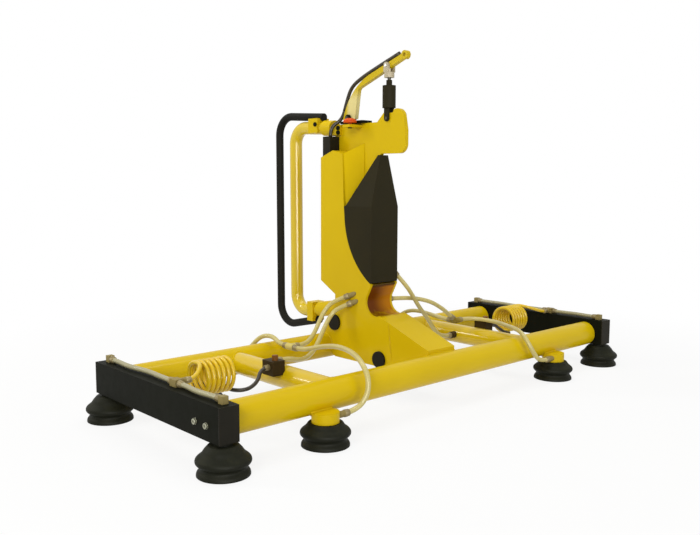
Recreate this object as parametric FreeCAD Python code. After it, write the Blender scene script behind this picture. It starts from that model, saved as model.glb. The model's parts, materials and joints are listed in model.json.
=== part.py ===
import FreeCAD, Part
import math
import os

Vector = FreeCAD.Vector

os.makedirs("parts", exist_ok=True)

# Millimetres. +X runs along the main tubes, +Y to the handle, +Z up.
# The origin lies on the plane of the cup lips, under the axis of the cylinder.

# Main tubes and cross tubes
TUBE_RADIUS = 38.05
TUBE_WALL = 3.6
TUBE_Y = 219.5
TUBE_Z = 103.0
TUBE_END_X = 721.5
CROSS_RADIUS = 30.15
CROSS_WALL = 3.2
CROSS_X = 395.0

# Telescopic end bars
BAR_X = 749.0
BAR_WIDTH = 50.0
BAR_WALL = 4.0
BAR_LOW_Z = 70.0
BAR_HIGH_Z = 150.0
BAR_REACH = 59.5
BAR_HALF_LENGTH = TUBE_Y + BAR_REACH
CAP_THICKNESS = 3.0
CAP_DEPTH = 14.0

# Slide rods of the end bars and the bushes that guide them
ROD_RADIUS = 20.0
ROD_LENGTH = 480.0
ROD_BORE = 14.0
RUNNING_FIT = 0.05
BUSH_LENGTH = 50.0
GUIDE_LENGTH = 24.0
ROD_FOOT_HALF = 40.0
BAR_BOLT_OFFSETS = (30.5, -13.5)
BAR_BOLT_RADIUS = 4.0
BAR_BOLT_GRIP = 24.0
BOLT_HEAD_RADIUS = 6.5
BOLT_HEAD_HEIGHT = 5.0

# Suction cups: radius and height down the outside, then the shallow dish
CUP_BAR_Y = 258.0
CUP_TUBE_X = 470.0
CUP_TUBE_Y = 262.0
CUP_LIP_RADIUS = 57.5
CUP_LIP_HEIGHT = 7.0
CUP_GROOVE_RADIUS = 50.5
CUP_GROOVE_HEIGHT = 16.5
CUP_FOLD_RADIUS = 60.0
CUP_FOLD_LOW = 27.0
CUP_FOLD_HIGH = 35.0
CUP_CONE_RADIUS = 46.0
CUP_SHOULDER = 54.5
CUP_NECK_RADIUS = 34.0
CUP_STEM_RADIUS = 28.0
CUP_TOP = 64.0
CUP_BOSS_RADIUS = 19.5
CUP_TUBE_BOSS_TOP = 64.5
CUP_DISH_RADIUS = 49.0
CUP_DISH_DEPTH = 4.0
CUP_DISH_FLAT = 30.0

# Sockets that carry the cups under the main tubes
SOCKET_RADIUS = 33.0
SOCKET_LOW = 54.8
SOCKET_HIGH = 80.0
SOCKET_CLEARANCE = 0.3
SOCKET_CAVITY_RADIUS = 22.0
SOCKET_CAVITY_HIGH = 74.0
ELBOW_RADIUS = 8.0
ELBOW_Y = 275.0
ELBOW_Z = 68.0
ELBOW_END_X = 424.0

# Column: side plates, web, rear cover and stiffeners. (y, z) is a line to a
# point, (via y, via z, y, z) an arc to one.
COLUMN_HALF = 55.0
PLATE = 8.0
SHEET = 5.0
COLUMN_OUTLINE = (
    (-208.0, 103.0), (-208.0, 152.0), (-62.0, 207.0), (-15.0, 222.0),
    (36.7, 247.0, 31.0, 279.0), (15.0, 310.0), (87.0, 378.0, 129.0, 494.0),
    (134.0, 553.0), (139.0, 690.0), (183.0, 700.0), (237.0, 680.0),
    (237.0, 304.0), (171.0, 267.0), (171.0, 246.0), (222.0, 150.0),
    (222.0, 103.0), (170.0, 75.0), (-170.0, 75.0),
)
WEB_Y = (-215.0, 45.0)
WEB_Z = (140.0, 310.0)
COVER_Y = (150.0, 245.0)
COVER_Z = (148.0, 705.0)
PLUG_CENTRES = ((171.0, 181.0), (-22.0, 97.0))
PLUG_RADIUS = 24.0
PLUG_HEAD = 7.0
PLUG_STEM_RADIUS = 19.0
STIFFENER_HEIGHTS = (545.0, 672.0)
STIFFENER_Y = (146.0, 222.0)

# Nose plate on the middle of the column
NOSE_HALF = 6.0
NOSE_OUTLINE = (
    (226.0, 779.0), (44.0, 779.0), (16.0, 806.0), (12.0, 803.0), (-19.0, 803.0),
    (-23.0, 812.0), (-36.0, 814.0), (-51.0, 809.0, -61.5, 796.0), (-69.5, 752.0),
    (-69.5, 712.0), (-62.0, 696.0, -45.0, 688.0), (27.4, 688.0), (122.1, 541.0),
    (122.1, 520.0), (226.0, 520.0),
)

# Slanted flanks that join the side plates to the nose plate (x, y) and z
FLANK_SEAT = 3.0
FLANK_PLATE = (FLANK_SEAT - COLUMN_HALF, 138.9)
FLANK_NOSE = (-4.0, 93.1)
FLANK_PLATE_Z = (537.0, 690.0)
FLANK_NOSE_Z = (588.0, 722.0)
FLANK_KNEE_SHARE = 0.28

# Black cover in the throat of the column
THROAT_HALF = COLUMN_HALF
THROAT_WALL = 4.0
THROAT_Y = (16.0, 140.0)
THROAT_Z = (314.0, 535.0)
HIP_FOOT_Y = (16.0, 126.0)
HIP_TOP_Y = (20.0, 30.0)
HIP_TOP_HALF = 16.0
HIP_TOP_Z = 684.0

# Vacuum unit inside the column
RESERVOIR_GAP = 7.0
RESERVOIR_HALF = COLUMN_HALF - PLATE - RESERVOIR_GAP
RESERVOIR_Y = (168.0, 232.0)
RESERVOIR_Z = (310.0, 500.0)
GENERATOR_HALF = 28.0
GENERATOR_Y = (132.0, 168.0)
GENERATOR_Z = (340.0, 470.0)
SILENCER_RADIUS = 14.0
SILENCER_Y = 150.0
SILENCER_HIGH = 505.0

# Handle: yellow D tube, black grip bar, sockets and clamps (y, z)
D_RADIUS = 20.0
D_WALL = 3.0
D_BEND = 50.0
D_ROUTE = ((240.0, 770.2), (425.0, 779.0), (421.0, 179.5), (180.0, 220.0))
GRIP_RADIUS = 12.5
GRIP_BEND = 60.0
GRIP_ROUTE = ((285.0, 806.0), (511.0, 820.5), (507.0, 119.0), (306.0, 165.0))
UPPER_SOCKET_END = (278.0, 772.0)
UPPER_SOCKET_START = (234.0, 769.9)
LOWER_SOCKET_END = (302.0, 199.5)
HANDLE_SOCKET_RADIUS = 24.0
CHEEK_Y = (196.0, 250.0)
CHEEK_Z = (748.0, 776.0)
CHEEK = 8.0
HANDLE_BOLT_Y = 202.0
HANDLE_BOLT_Z = (755.0, 769.0)
HANDLE_BOLT_RADIUS = 4.0
HANDLE_HEAD_RADIUS = 6.5
HANDLE_HEAD_HEIGHT = 5.0
CLAMP_HALF = 24.0
CLAMP_UPPER_Y = (290.0, 334.0)
CLAMP_UPPER_Z = (758.0, 803.0)
CLAMP_SCREW = (299.0, 784.0)
CLAMP_SCREW_RADIUS = 3.0
CLAMP_SCREW_DEPTH = 4.0
CLAMP_HEAD_RADIUS = 6.5
CLAMP_HEAD_HEIGHT = 4.0
CLAMP_LOWER_Y = (314.0, 342.0)
CLAMP_LOWER_Z = (160.0, 222.0)

# Bracket, button and air inlet on top of the column
BASE_Y = (92.0, 188.0)
BASE_HALF = 20.0
BASE_Z = (779.0, 787.0)
TAB_X = (-57.0, -6.0)
TAB_Y = (107.0, 137.0)
TAB_Z = (766.0, 774.0)
EAR_GAP = 0.4
EAR = 7.0
EAR_RADIUS = 10.0
BUTTON_X = -41.0
BUTTON_Y = 122.0
BUTTON_STEM_RADIUS = 6.0
BUTTON_STEM_LOW = 763.0
BUTTON_FIT = 0.08
BUTTON_HEAD_RADIUS = 20.0
BUTTON_HEAD_LOW = 778.5
BUTTON_RIM_HIGH = 787.0
BUTTON_TOP = 793.0
BUTTON_TOP_RADIUS = 13.0
INLET_X = (-46.0, -8.0)
INLET_Y = (206.0, 238.0)
INLET_Z = (670.0, 743.0)

# Suspension arm and its pivot (y, z)
ARM_PIVOT = (163.0, 797.0)
ARM_PIN_RADIUS = 5.0
ARM_PIN_HALF = 18.0
ARM_HALF = 7.0
ARM_END_OUTER = (-62.0, 966.0)
ARM_BEND_OUTER = (154.5, 890.0)
ARM_FOOT_OUTER = (190.5, 793.0)
ARM_FOOT_INNER = (137.0, 793.0)
ARM_BEND_INNER = (124.0, 880.0)
ARM_END_INNER = (-66.0, 951.5)
ARM_OUTER_RADIUS = 185.0
ARM_INNER_RADIUS = 12.0
ARM_EYE = (-62.0, 959.0)
ARM_EYE_RADIUS = 12.0
HANGER_RADIUS = 5.25
ROD_PIN = (2.0, 935.5)
ROD_PIN_RADIUS = 4.0
ROD_PIN_HALF = 16.0

# Levelling cylinder between the nose plate and the arm
CYLINDER_PIN = (2.0, 788.0)
CYLINDER_PIN_RADIUS = 4.5
CYLINDER_PIN_HALF = 13.0
FORK_INNER = 6.5
FORK_OUTER = 11.5
FORK_RADIUS = 9.0
BARREL_RADIUS = 19.0
BARREL_BORE = 14.0
BARREL_FOOT = 29.0
BARREL_LENGTH = 63.0
BARREL_Z = (CYLINDER_PIN[1] + BARREL_FOOT, CYLINDER_PIN[1] + BARREL_FOOT + BARREL_LENGTH)
BARREL_BASE = 8.0
BARREL_HEAD = 6.0
NECK_RADIUS = 8.5
NECK_LENGTH = 15.0
NECK_HIGH = BARREL_Z[1] + NECK_LENGTH
PISTON_LIFT = 17.0
PISTON_THICKNESS = 12.0
PISTON_Z = (BARREL_Z[0] + PISTON_LIFT, BARREL_Z[0] + PISTON_LIFT + PISTON_THICKNESS)
STEM_RADIUS = 5.0
ROD_END_RADIUS = 14.5
ROD_END_DROP = 33.5
ROD_END_HEIGHT = 24.0
ROD_END_Z = (ROD_PIN[1] - ROD_END_DROP, ROD_PIN[1] - ROD_END_DROP + ROD_END_HEIGHT)
STEM_SOCKET = 8.0
CLEVIS_PLAY = 0.6
CLEVIS_GAP = ARM_HALF + CLEVIS_PLAY
CLEVIS_RADIUS = 9.5
CLEVIS_DROP = 18.5
CLEVIS_LOW = ROD_PIN[1] - CLEVIS_DROP
EYE_CLEARANCE = 0.6

# Hoses: routes are points chosen along the run (x, y, z)
HOSE_RADIUS = 6.5
BAR_HOSE_RADIUS = 6.0
COIL_HOSE_RADIUS = 5.0
AIR_HOSE_RADIUS = 5.5
AIR_HOSE_X = -3.0
AIR_HOSE_GAP = 0.5
AIR_HOSE_SETBACK = 20.0
BEND_SHARE = 0.45
FITTING_RADIUS = 7.5
FITTING_REACH = 6.0
FITTING_FACE = COLUMN_HALF + FITTING_REACH
MANIFOLD_X = (-452.0, -415.0)
MANIFOLD_Y = (-40.0, 6.0)
MANIFOLD_Z = (116.0, 154.0)
KNOB_X = -434.0
KNOB_Y = -24.0
KNOB_RADIUS = 8.0
KNOB_HIGH = 167.0
GALLERY_RADIUS = 11.0
GALLERY_END_X = 346.0
GALLERY_Y = 50.0
GALLERY_Z = 105.0
TEE_RADIUS = 9.5
LEFT_TEE_Y = (85.0, 115.0)
LEFT_TEE_CENTRE = (-284.0, 100.0, 148.0)
LEFT_TEE_INLET = (-271.0, 100.0, 148.0)
RIGHT_TEE_X = (309.0, 325.0)
RIGHT_TEE_CENTRE = (309.0, 0.0, 165.0)
RIGHT_TEE_INLET = (296.2, 0.0, 174.6)
RIGHT_TEE_REAR = (309.0, 16.0, 165.0)
LEFT_FRONT_ROUTE = (
    (-424.0, -275.0, 68.0), (-384.0, -275.0, 68.0), (-355.0, -284.0, 100.0),
    (-348.0, -279.0, 144.0), (-338.0, -244.0, 172.0), (-318.0, -196.0, 182.0),
    (-298.0, -140.0, 183.0), (-286.0, -85.0, 180.0), (-281.0, -18.0, 166.0),
    (-284.0, 42.0, 148.0), (-284.0, 85.0, 148.0),
)
LEFT_REAR_ROUTE = (
    (-284.0, 115.0, 148.0), (-284.0, 150.0, 148.0), (-274.0, 198.0, 164.0),
    (-282.0, 245.0, 157.0), (-297.0, 278.0, 118.0), (-330.0, 285.0, 82.0),
    (-382.0, 275.0, 68.0), (-424.0, 275.0, 68.0),
)
LEFT_FEED_ROUTE = (
    (-FITTING_FACE, 102.1, 270.2), (-84.0, 140.0, 254.0), (-101.0, 160.0, 230.0),
    (-123.0, 162.0, 198.0), (-152.0, 148.0, 172.0), (-192.0, 124.0, 153.0),
    (-234.0, 100.0, 148.0), (-271.0, 100.0, 148.0),
)
LEFT_MANIFOLD_ROUTE = (
    (-FITTING_FACE, 89.8, 249.8), (-86.0, 124.0, 234.0), (-103.0, 138.0, 210.0),
    (-128.0, 134.0, 182.0), (-167.0, 111.0, 156.0), (-213.0, 80.0, 134.0),
    (-270.0, 45.0, 124.0), (-326.0, 12.0, 131.0), (-376.0, -8.0, 147.0),
    (-415.0, -8.0, 147.0),
)
RIGHT_FEED_ROUTE = (
    (FITTING_FACE, 59.0, 254.0), (110.0, 36.0, 255.0), (156.0, 18.0, 249.0),
    (200.0, 8.0, 236.0), (232.0, 3.0, 219.0), (262.6, 0.0, 199.8),
    (296.2, 0.0, 174.6),
)
RIGHT_LOWER_ROUTE = (
    (FITTING_FACE, 34.1, 337.9), (92.0, 13.0, 297.0), (120.0, 9.0, 259.0),
    (152.0, 16.0, 226.0), (190.0, 28.0, 198.0), (230.0, 40.0, 166.0),
    (266.0, 48.0, 130.0), (304.0, 50.0, 105.0), (346.0, 50.0, 105.0),
)
RIGHT_FRONT_ROUTE = (
    (325.0, 0.0, 165.0), (362.0, 0.0, 165.0), (392.0, -22.0, 164.0),
    (404.0, -66.0, 162.0), (396.0, -112.0, 161.0), (374.0, -152.0, 162.0),
    (348.0, -192.0, 164.0), (330.0, -234.0, 162.0), (318.0, -268.0, 140.0),
    (334.0, -285.0, 97.0), (380.0, -275.0, 68.0), (424.0, -275.0, 68.0),
)
RIGHT_REAR_ROUTE = (
    (309.0, 16.0, 165.0), (309.0, 52.0, 165.0), (322.0, 92.0, 166.0),
    (334.0, 136.0, 168.0), (338.0, 178.0, 170.0), (336.0, 216.0, 169.0),
    (328.0, 250.0, 157.0), (317.0, 277.0, 126.0), (334.0, 288.0, 88.0),
    (380.0, 275.0, 68.0), (424.0, 275.0, 68.0),
)
BAR_FRONT_ROUTE = (
    (-745.0, -79.0, 158.0), (-745.0, -112.0, 158.0), (-752.0, -165.0, 158.0),
    (-746.0, -218.0, 158.0), (-746.0, -248.0, 158.0),
)
BAR_REAR_ROUTE = (
    (-745.0, -53.0, 158.0), (-745.0, -5.0, 158.0), (-740.0, 70.0, 158.0),
    (-751.0, 145.0, 158.0), (-746.0, 205.0, 158.0), (-746.0, 248.0, 158.0),
)
BAR_ELBOW_X = (-754.0, -738.0)
BAR_ELBOW_Y = (248.0, 264.0)
BAR_TEE_X = (-755.0, -735.0)
BAR_TEE_Y = (-79.0, -53.0)
BAR_FITTING_Z = (150.0, 167.0)
TEE_BRANCH_END = -722.0
AIR_HOSE_RISE = 23.0
AIR_HOSE_FOOT_Z = ARM_PIVOT[1] + AIR_HOSE_RISE
INLET_LEAD = 28.0
INLET_ROUTE = ((-31.0, 220.0, 772.0), (-31.0, 220.0, 743.0))

# Coil hoses: turns about an axis along X, with a lead at each end
COIL_AXIS_Y = 0.0
COIL_AXIS_Z = 138.0
COIL_RADIUS = 40.0
COIL_START_X = -652.0
COIL_PITCH = 14.0
COIL_QUARTERS = 26
QUARTERS = 4
COIL_BAR_END = (-722.0, -66.0, 159.0)
COIL_MID_POINT = (-508.0, -42.0, 110.0)
COIL_MID_DIRECTION = (0.8, 0.1, 0.59)
COIL_BLOCK_END = (-452.0, -22.0, 138.0)

OVERRUN = 4.0
AXIS_X = Vector(1.0, 0.0, 0.0)
AXIS_Y = Vector(0.0, 1.0, 0.0)
AXIS_Z = Vector(0.0, 0.0, 1.0)
ORIGIN = Vector(0.0, 0.0, 0.0)


def export(node, solids):
    shape = solids[0] if len(solids) == 1 else Part.makeCompound(solids)
    shape.exportStep("parts/%s.step" % node)
    volume = sum(solid.Volume for solid in solids)
    print("%-24s solids %d valid %s volume %.0f" % (node, len(solids), shape.isValid(), volume))


def mirror_x(solids):
    return [solid.mirror(ORIGIN, AXIS_X) for solid in solids]


def mirror_y(solids):
    return [solid.mirror(ORIGIN, AXIS_Y) for solid in solids]


def box(x, y, z):
    return Part.makeBox(x[1] - x[0], y[1] - y[0], z[1] - z[0], Vector(x[0], y[0], z[0]))


def both(half):
    return (-half, half)


def cylinder(radius, start, end):
    axis = end - start
    return Part.makeCylinder(radius, axis.Length, start, axis)


def along_x(radius, span, point):
    return cylinder(radius, Vector(span[0], *point), Vector(span[1], *point))


def upright(radius, x, y, span):
    return cylinder(radius, Vector(x, y, span[0]), Vector(x, y, span[1]))


def revolved(profile, x, y):
    points = [Vector(x + radius, y, height) for radius, height in profile]
    face = Part.Face(Part.makePolygon(points + points[:1]))
    return face.revolve(Vector(x, y, 0.0), AXIS_Z, 360.0)


def outline_wire(steps):
    """Closed wire in the plane x = 0 from lines (y, z) and arcs (via y, via z, y, z)."""
    here = Vector(0.0, *steps[0])
    edges = []
    for step in tuple(steps[1:]) + (steps[0],):
        there = Vector(0.0, *step[-2:])
        if len(step) == len(steps[0]):
            edges.append(Part.LineSegment(here, there).toShape())
        else:
            edges.append(Part.Arc(here, Vector(0.0, *step[:2]), there).toShape())
        here = there
    return Part.Wire(edges)


def prism(wire, span):
    face = Part.Face(wire)
    face.translate(Vector(span[0], 0.0, 0.0))
    return face.extrude(Vector(span[1] - span[0], 0.0, 0.0))


def bend(before, corner, after, radius):
    """Start, middle and end of the arc that rounds a corner of a route."""
    back = (before - corner).normalize()
    ahead = (after - corner).normalize()
    half_turn = (math.pi - back.getAngle(ahead)) / 2.0
    reach = radius * math.tan(half_turn)
    middle = (back + ahead).normalize() * (radius / math.cos(half_turn) - radius)
    return corner + back * reach, corner + middle, corner + ahead * reach


def route_wire(points, radius=None):
    """Straight runs joined by tangent arcs; without a radius each bend is as wide as its runs allow."""
    edges = []
    radii = []
    here = points[0]
    for before, corner, after in zip(points, points[1:], points[2:]):
        size = radius
        if radius is None:
            half_turn = (math.pi - (before - corner).getAngle(after - corner)) / 2.0
            shorter = min((before - corner).Length, (after - corner).Length)
            size = BEND_SHARE * shorter / math.tan(half_turn)
        start, middle, end = bend(before, corner, after, size)
        edges.append(Part.LineSegment(here, start).toShape())
        edges.append(Part.Arc(start, middle, end).toShape())
        radii.append(size)
        here = end
    edges.append(Part.LineSegment(here, points[-1]).toShape())
    return Part.Wire(edges), min(radii)


def swept(wire, start, direction, radius):
    circle = Part.Wire(Part.Circle(start, direction, radius).toShape())
    return wire.makePipeShell([circle], True, False)


def hose(route, radius):
    points = [Vector(*point) for point in route]
    wire, tightest = route_wire(points)
    solid = swept(wire, points[0], points[1] - points[0], radius)
    section = math.pi * radius * radius
    print("hose: least radius %.1f, volume share %.4f" % (tightest, solid.Volume / (section * wire.Length)))
    return solid


def bent_bar(route, bend_radius, radius):
    points = [Vector(0.0, *point) for point in route]
    wire = route_wire(points, bend_radius)[0]
    return swept(wire, points[0], points[1] - points[0], radius)


def arc_between(start, corner, end):
    chord_middle = (start + end) * 0.5
    reach = (corner - start).Length
    height = (corner - chord_middle).Length
    share = (1.0 - (start - chord_middle).Length / reach) * reach / height
    middle = corner + (chord_middle - corner).normalize() * (share * reach)
    return Part.Arc(start, middle, end).toShape()


def biarc(start, start_way, end, end_way):
    """Two tangent arcs from one point and direction to another."""
    chord = end - start
    ways = start_way + end_way
    closing = 2.0 * (1.0 - start_way.dot(end_way))
    along = chord.dot(ways)
    if closing < 1e-9:
        reach = chord.dot(chord) / (2.0 * along)
    else:
        reach = (math.sqrt(along * along + closing * chord.dot(chord)) - along) / closing
    first = start + start_way * reach
    second = end - end_way * reach
    joint = (first + second) * 0.5
    return [arc_between(start, first, joint), arc_between(joint, second, end)]


# Main tubes and cross tubes
def main_tube(y):
    start = Vector(-TUBE_END_X, y, TUBE_Z)
    end = Vector(TUBE_END_X, y, TUBE_Z)
    return cylinder(TUBE_RADIUS, start, end).cut(cylinder(TUBE_RADIUS - TUBE_WALL, start, end))


tube_envelopes = [
    along_x(TUBE_RADIUS, both(TUBE_END_X), (y, TUBE_Z)) for y in (-TUBE_Y, TUBE_Y)
]
tube_space = tube_envelopes[0].fuse(tube_envelopes[1])
export("front_tube", [main_tube(-TUBE_Y)])
export("rear_tube", [main_tube(TUBE_Y)])

cross_start = Vector(-CROSS_X, -TUBE_Y, TUBE_Z)
cross_end = Vector(-CROSS_X, TUBE_Y, TUBE_Z)
cross_envelope = cylinder(CROSS_RADIUS, cross_start, cross_end)
cross_bore = cylinder(CROSS_RADIUS - CROSS_WALL, cross_start, cross_end)
left_cross = cross_envelope.cut(cross_bore).cut(tube_space)
export("left_cross_tube", [left_cross])
export("right_cross_tube", mirror_x([left_cross]))

# Bushes in the tube ends and the slide rods that run in them
bush_span = (-TUBE_END_X, BUSH_LENGTH - TUBE_END_X)
bore_radius = TUBE_RADIUS - TUBE_WALL
left_bushes = []
left_rods = []
bar_outer = -BAR_X - BAR_WIDTH / 2.0
bar_inner = -BAR_X + BAR_WIDTH / 2.0
bar_hole_cutters = []
left_bolts = []
for y in (-TUBE_Y, TUBE_Y):
    at = (y, TUBE_Z)
    bush = along_x(bore_radius, bush_span, at).cut(along_x(ROD_RADIUS + RUNNING_FIT, bush_span, at))
    left_bushes.append(bush)
    foot = box(
        (bar_outer + BAR_WALL, bar_inner - BAR_WALL),
        (y - ROD_FOOT_HALF, y + ROD_FOOT_HALF),
        (TUBE_Z - ROD_RADIUS, TUBE_Z + ROD_RADIUS),
    )
    rod_end_x = bar_inner + ROD_LENGTH
    rod = foot.fuse(along_x(ROD_RADIUS, (bar_inner - BAR_WALL, rod_end_x), at))
    rod = rod.fuse(along_x(bore_radius - RUNNING_FIT, (rod_end_x - GUIDE_LENGTH, rod_end_x), at))
    rod = rod.cut(along_x(ROD_BORE, (bar_inner, rod_end_x), at))
    bar_hole_cutters.append(along_x(ROD_RADIUS, (bar_inner - BAR_WALL - OVERRUN, bar_inner + OVERRUN), at))
    for offset in BAR_BOLT_OFFSETS:
        bolt_at = (offset - TUBE_Y, TUBE_Z)
        shank = along_x(BAR_BOLT_RADIUS, (bar_outer, bar_outer + BAR_BOLT_GRIP), bolt_at)
        rod = rod.cut(shank)
    left_rods.append(rod)
for offset in BAR_BOLT_OFFSETS:
    bolt_at = (offset - TUBE_Y, TUBE_Z)
    shank = along_x(BAR_BOLT_RADIUS, (bar_outer, bar_outer + BAR_BOLT_GRIP), bolt_at)
    head = along_x(BOLT_HEAD_RADIUS, (bar_outer - BOLT_HEAD_HEIGHT, bar_outer), bolt_at)
    left_bolts.append(shank.fuse(head))
    bar_hole_cutters.append(along_x(BAR_BOLT_RADIUS, (bar_outer - OVERRUN, bar_outer + BAR_WALL), bolt_at))
export("slide_bushes", left_bushes + mirror_x(left_bushes))
export("left_slide_rods", left_rods)
export("right_slide_rods", mirror_x(left_rods))
export("left_bar_bolts", left_bolts)
export("right_bar_bolts", mirror_x(left_bolts))

# End bars with caps
inside_x = (bar_outer + BAR_WALL, bar_inner - BAR_WALL)
inside_z = (BAR_LOW_Z + BAR_WALL, BAR_HIGH_Z - BAR_WALL)
left_bar = box((bar_outer, bar_inner), both(BAR_HALF_LENGTH), (BAR_LOW_Z, BAR_HIGH_Z))
left_bar = left_bar.cut(box(inside_x, both(BAR_HALF_LENGTH + OVERRUN), inside_z))
for cutter in bar_hole_cutters:
    left_bar = left_bar.cut(cutter)
cap_plate_y = (BAR_HALF_LENGTH, BAR_HALF_LENGTH + CAP_THICKNESS)
cap = box((bar_outer, bar_inner), cap_plate_y, (BAR_LOW_Z, BAR_HIGH_Z))
cap = cap.fuse(box(inside_x, (BAR_HALF_LENGTH - CAP_DEPTH, BAR_HALF_LENGTH), inside_z))
left_caps = [cap] + mirror_y([cap])
export("left_bar", [left_bar])
export("right_bar", mirror_x([left_bar]))
export("left_bar_caps", left_caps)
export("right_bar_caps", mirror_x(left_caps))


# Suction cups
def cup(x, y, neck, boss_top):
    return revolved(
        (
            (0.0, CUP_DISH_DEPTH), (CUP_DISH_FLAT, CUP_DISH_DEPTH), (CUP_DISH_RADIUS, 0.0),
            (CUP_LIP_RADIUS, 0.0), (CUP_LIP_RADIUS, CUP_LIP_HEIGHT),
            (CUP_GROOVE_RADIUS, CUP_GROOVE_HEIGHT), (CUP_FOLD_RADIUS, CUP_FOLD_LOW),
            (CUP_FOLD_RADIUS, CUP_FOLD_HIGH), (CUP_CONE_RADIUS, CUP_SHOULDER),
        )
        + neck
        + ((CUP_BOSS_RADIUS, CUP_TOP), (CUP_BOSS_RADIUS, boss_top), (0.0, boss_top)),
        x,
        y,
    )


bar_neck = ((CUP_NECK_RADIUS, CUP_TOP),)
tube_neck = ((CUP_STEM_RADIUS, CUP_SHOULDER), (CUP_STEM_RADIUS, CUP_TOP))
left_bar_cups = [cup(-BAR_X, y, bar_neck, BAR_LOW_Z) for y in both(CUP_BAR_Y)]
left_tube_cups = [cup(-CUP_TUBE_X, y, tube_neck, CUP_TUBE_BOSS_TOP) for y in both(CUP_TUBE_Y)]
export("left_bar_cups", left_bar_cups)
export("right_bar_cups", mirror_x(left_bar_cups))
export("left_tube_cups", left_tube_cups)
export("right_tube_cups", mirror_x(left_tube_cups))

# Cup sockets under the main tubes, each with a hose elbow on its inner side
socket_envelope = upright(SOCKET_RADIUS, -CUP_TUBE_X, CUP_TUBE_Y, (SOCKET_LOW, SOCKET_HIGH))
neck_space = upright(CUP_STEM_RADIUS + SOCKET_CLEARANCE, -CUP_TUBE_X, CUP_TUBE_Y, (SOCKET_LOW, CUP_TOP))
cavity = upright(SOCKET_CAVITY_RADIUS, -CUP_TUBE_X, CUP_TUBE_Y, (CUP_TOP, SOCKET_CAVITY_HIGH))
socket = socket_envelope.cut(neck_space).cut(cavity).cut(tube_space)
elbow = along_x(ELBOW_RADIUS, (-CUP_TUBE_X, -ELBOW_END_X), (ELBOW_Y, ELBOW_Z)).cut(socket_envelope)
left_sockets = [socket] + mirror_y([socket])
left_elbows = [elbow] + mirror_y([elbow])
export("cup_sockets", left_sockets + mirror_x(left_sockets))
export("socket_elbows", left_elbows + mirror_x(left_elbows))

# Column: two side plates, a web round the notch, a rear cover
column_wire = outline_wire(COLUMN_OUTLINE)
column_envelope = prism(column_wire, both(COLUMN_HALF)).cut(tube_space)
side_plate = prism(column_wire, (-COLUMN_HALF, PLATE - COLUMN_HALF)).cut(tube_space)
plugs = []
for y, z in PLUG_CENTRES:
    stem = along_x(PLUG_STEM_RADIUS, (-COLUMN_HALF, PLATE - COLUMN_HALF), (y, z))
    head = along_x(PLUG_RADIUS, (-COLUMN_HALF - PLUG_HEAD, -COLUMN_HALF), (y, z))
    side_plate = side_plate.cut(stem)
    plugs.append(stem.fuse(head))
export("left_side_plate", [side_plate])
export("right_side_plate", mirror_x([side_plate]))
export("base_plugs", plugs + mirror_x(plugs))

inner_half = COLUMN_HALF - PLATE
inner_face = Part.Face(column_wire).makeOffset2D(-SHEET)
shell = prism(column_wire, both(inner_half)).cut(
    inner_face.translated(Vector(-inner_half, 0.0, 0.0)).extrude(Vector(2.0 * inner_half, 0.0, 0.0))
).cut(tube_space)
export("throat_web", shell.common(box(both(inner_half), WEB_Y, WEB_Z)).Solids)
nose_space = prism(outline_wire(NOSE_OUTLINE), both(NOSE_HALF))
export("rear_cover", shell.common(box(both(inner_half), COVER_Y, COVER_Z)).cut(nose_space).Solids)

stiffeners = []
for z in STIFFENER_HEIGHTS:
    stiffeners.append(box((-inner_half, -NOSE_HALF), STIFFENER_Y, (z - PLATE, z)))
export("column_stiffeners", stiffeners + mirror_x(stiffeners))

flank_run = Vector(*FLANK_NOSE, 0.0) - Vector(*FLANK_PLATE, 0.0)
flank_foot = Vector(*FLANK_PLATE, FLANK_PLATE_Z[0])
flank_corners = [
    flank_foot, flank_foot + flank_run * FLANK_KNEE_SHARE, Vector(*FLANK_NOSE, FLANK_NOSE_Z[0]),
    Vector(*FLANK_NOSE, FLANK_NOSE_Z[1]), Vector(*FLANK_PLATE, FLANK_PLATE_Z[1]),
]
flank_way = flank_run.cross(AXIS_Z).normalize()
if flank_way.y < 0.0:
    flank_way = flank_way * -1.0
flank = Part.Face(Part.makePolygon(flank_corners + flank_corners[:1])).extrude(flank_way * SHEET)
flank = flank.cut(side_plate).cut(nose_space)
export("column_flanks", flank.Solids + mirror_x(flank.Solids))

nose = nose_space
cylinder_pin = along_x(CYLINDER_PIN_RADIUS, both(CYLINDER_PIN_HALF), CYLINDER_PIN)
handle_bolts = []
for z in HANDLE_BOLT_Z:
    at = (HANDLE_BOLT_Y, z)
    reach = NOSE_HALF + CHEEK
    bolt = along_x(HANDLE_BOLT_RADIUS, both(reach), at)
    nose = nose.cut(bolt)
    for side in both(reach + HANDLE_HEAD_HEIGHT):
        ends = sorted((side, math.copysign(reach, side)))
        bolt = bolt.fuse(along_x(HANDLE_HEAD_RADIUS, ends, at))
    handle_bolts.append(bolt)
stem_hole = upright(BUTTON_STEM_RADIUS + BUTTON_FIT, BUTTON_X, BUTTON_Y, TAB_Z)
nose = nose.fuse(box(TAB_X, TAB_Y, TAB_Z)).removeSplitter()
export("nose_plate", nose.cut(cylinder_pin).cut(stem_hole).Solids)


# Black cover in the throat: a straight lower part and a tapered hip
def hip(foot_half, foot_y, top_half, top_y, top_z):
    rings = []
    for half, y, z in ((foot_half, foot_y, THROAT_Z[1]), (top_half, top_y, top_z)):
        places = ((-half, y[0]), (half, y[0]), (half, y[1]), (-half, y[1]))
        corners = [Vector(*place, z) for place in places]
        rings.append(Part.makePolygon(corners + corners[:1]))
    return Part.makeLoft(rings, True, True)


def inset(span):
    return (span[0] + THROAT_WALL, span[1] - THROAT_WALL)


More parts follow.
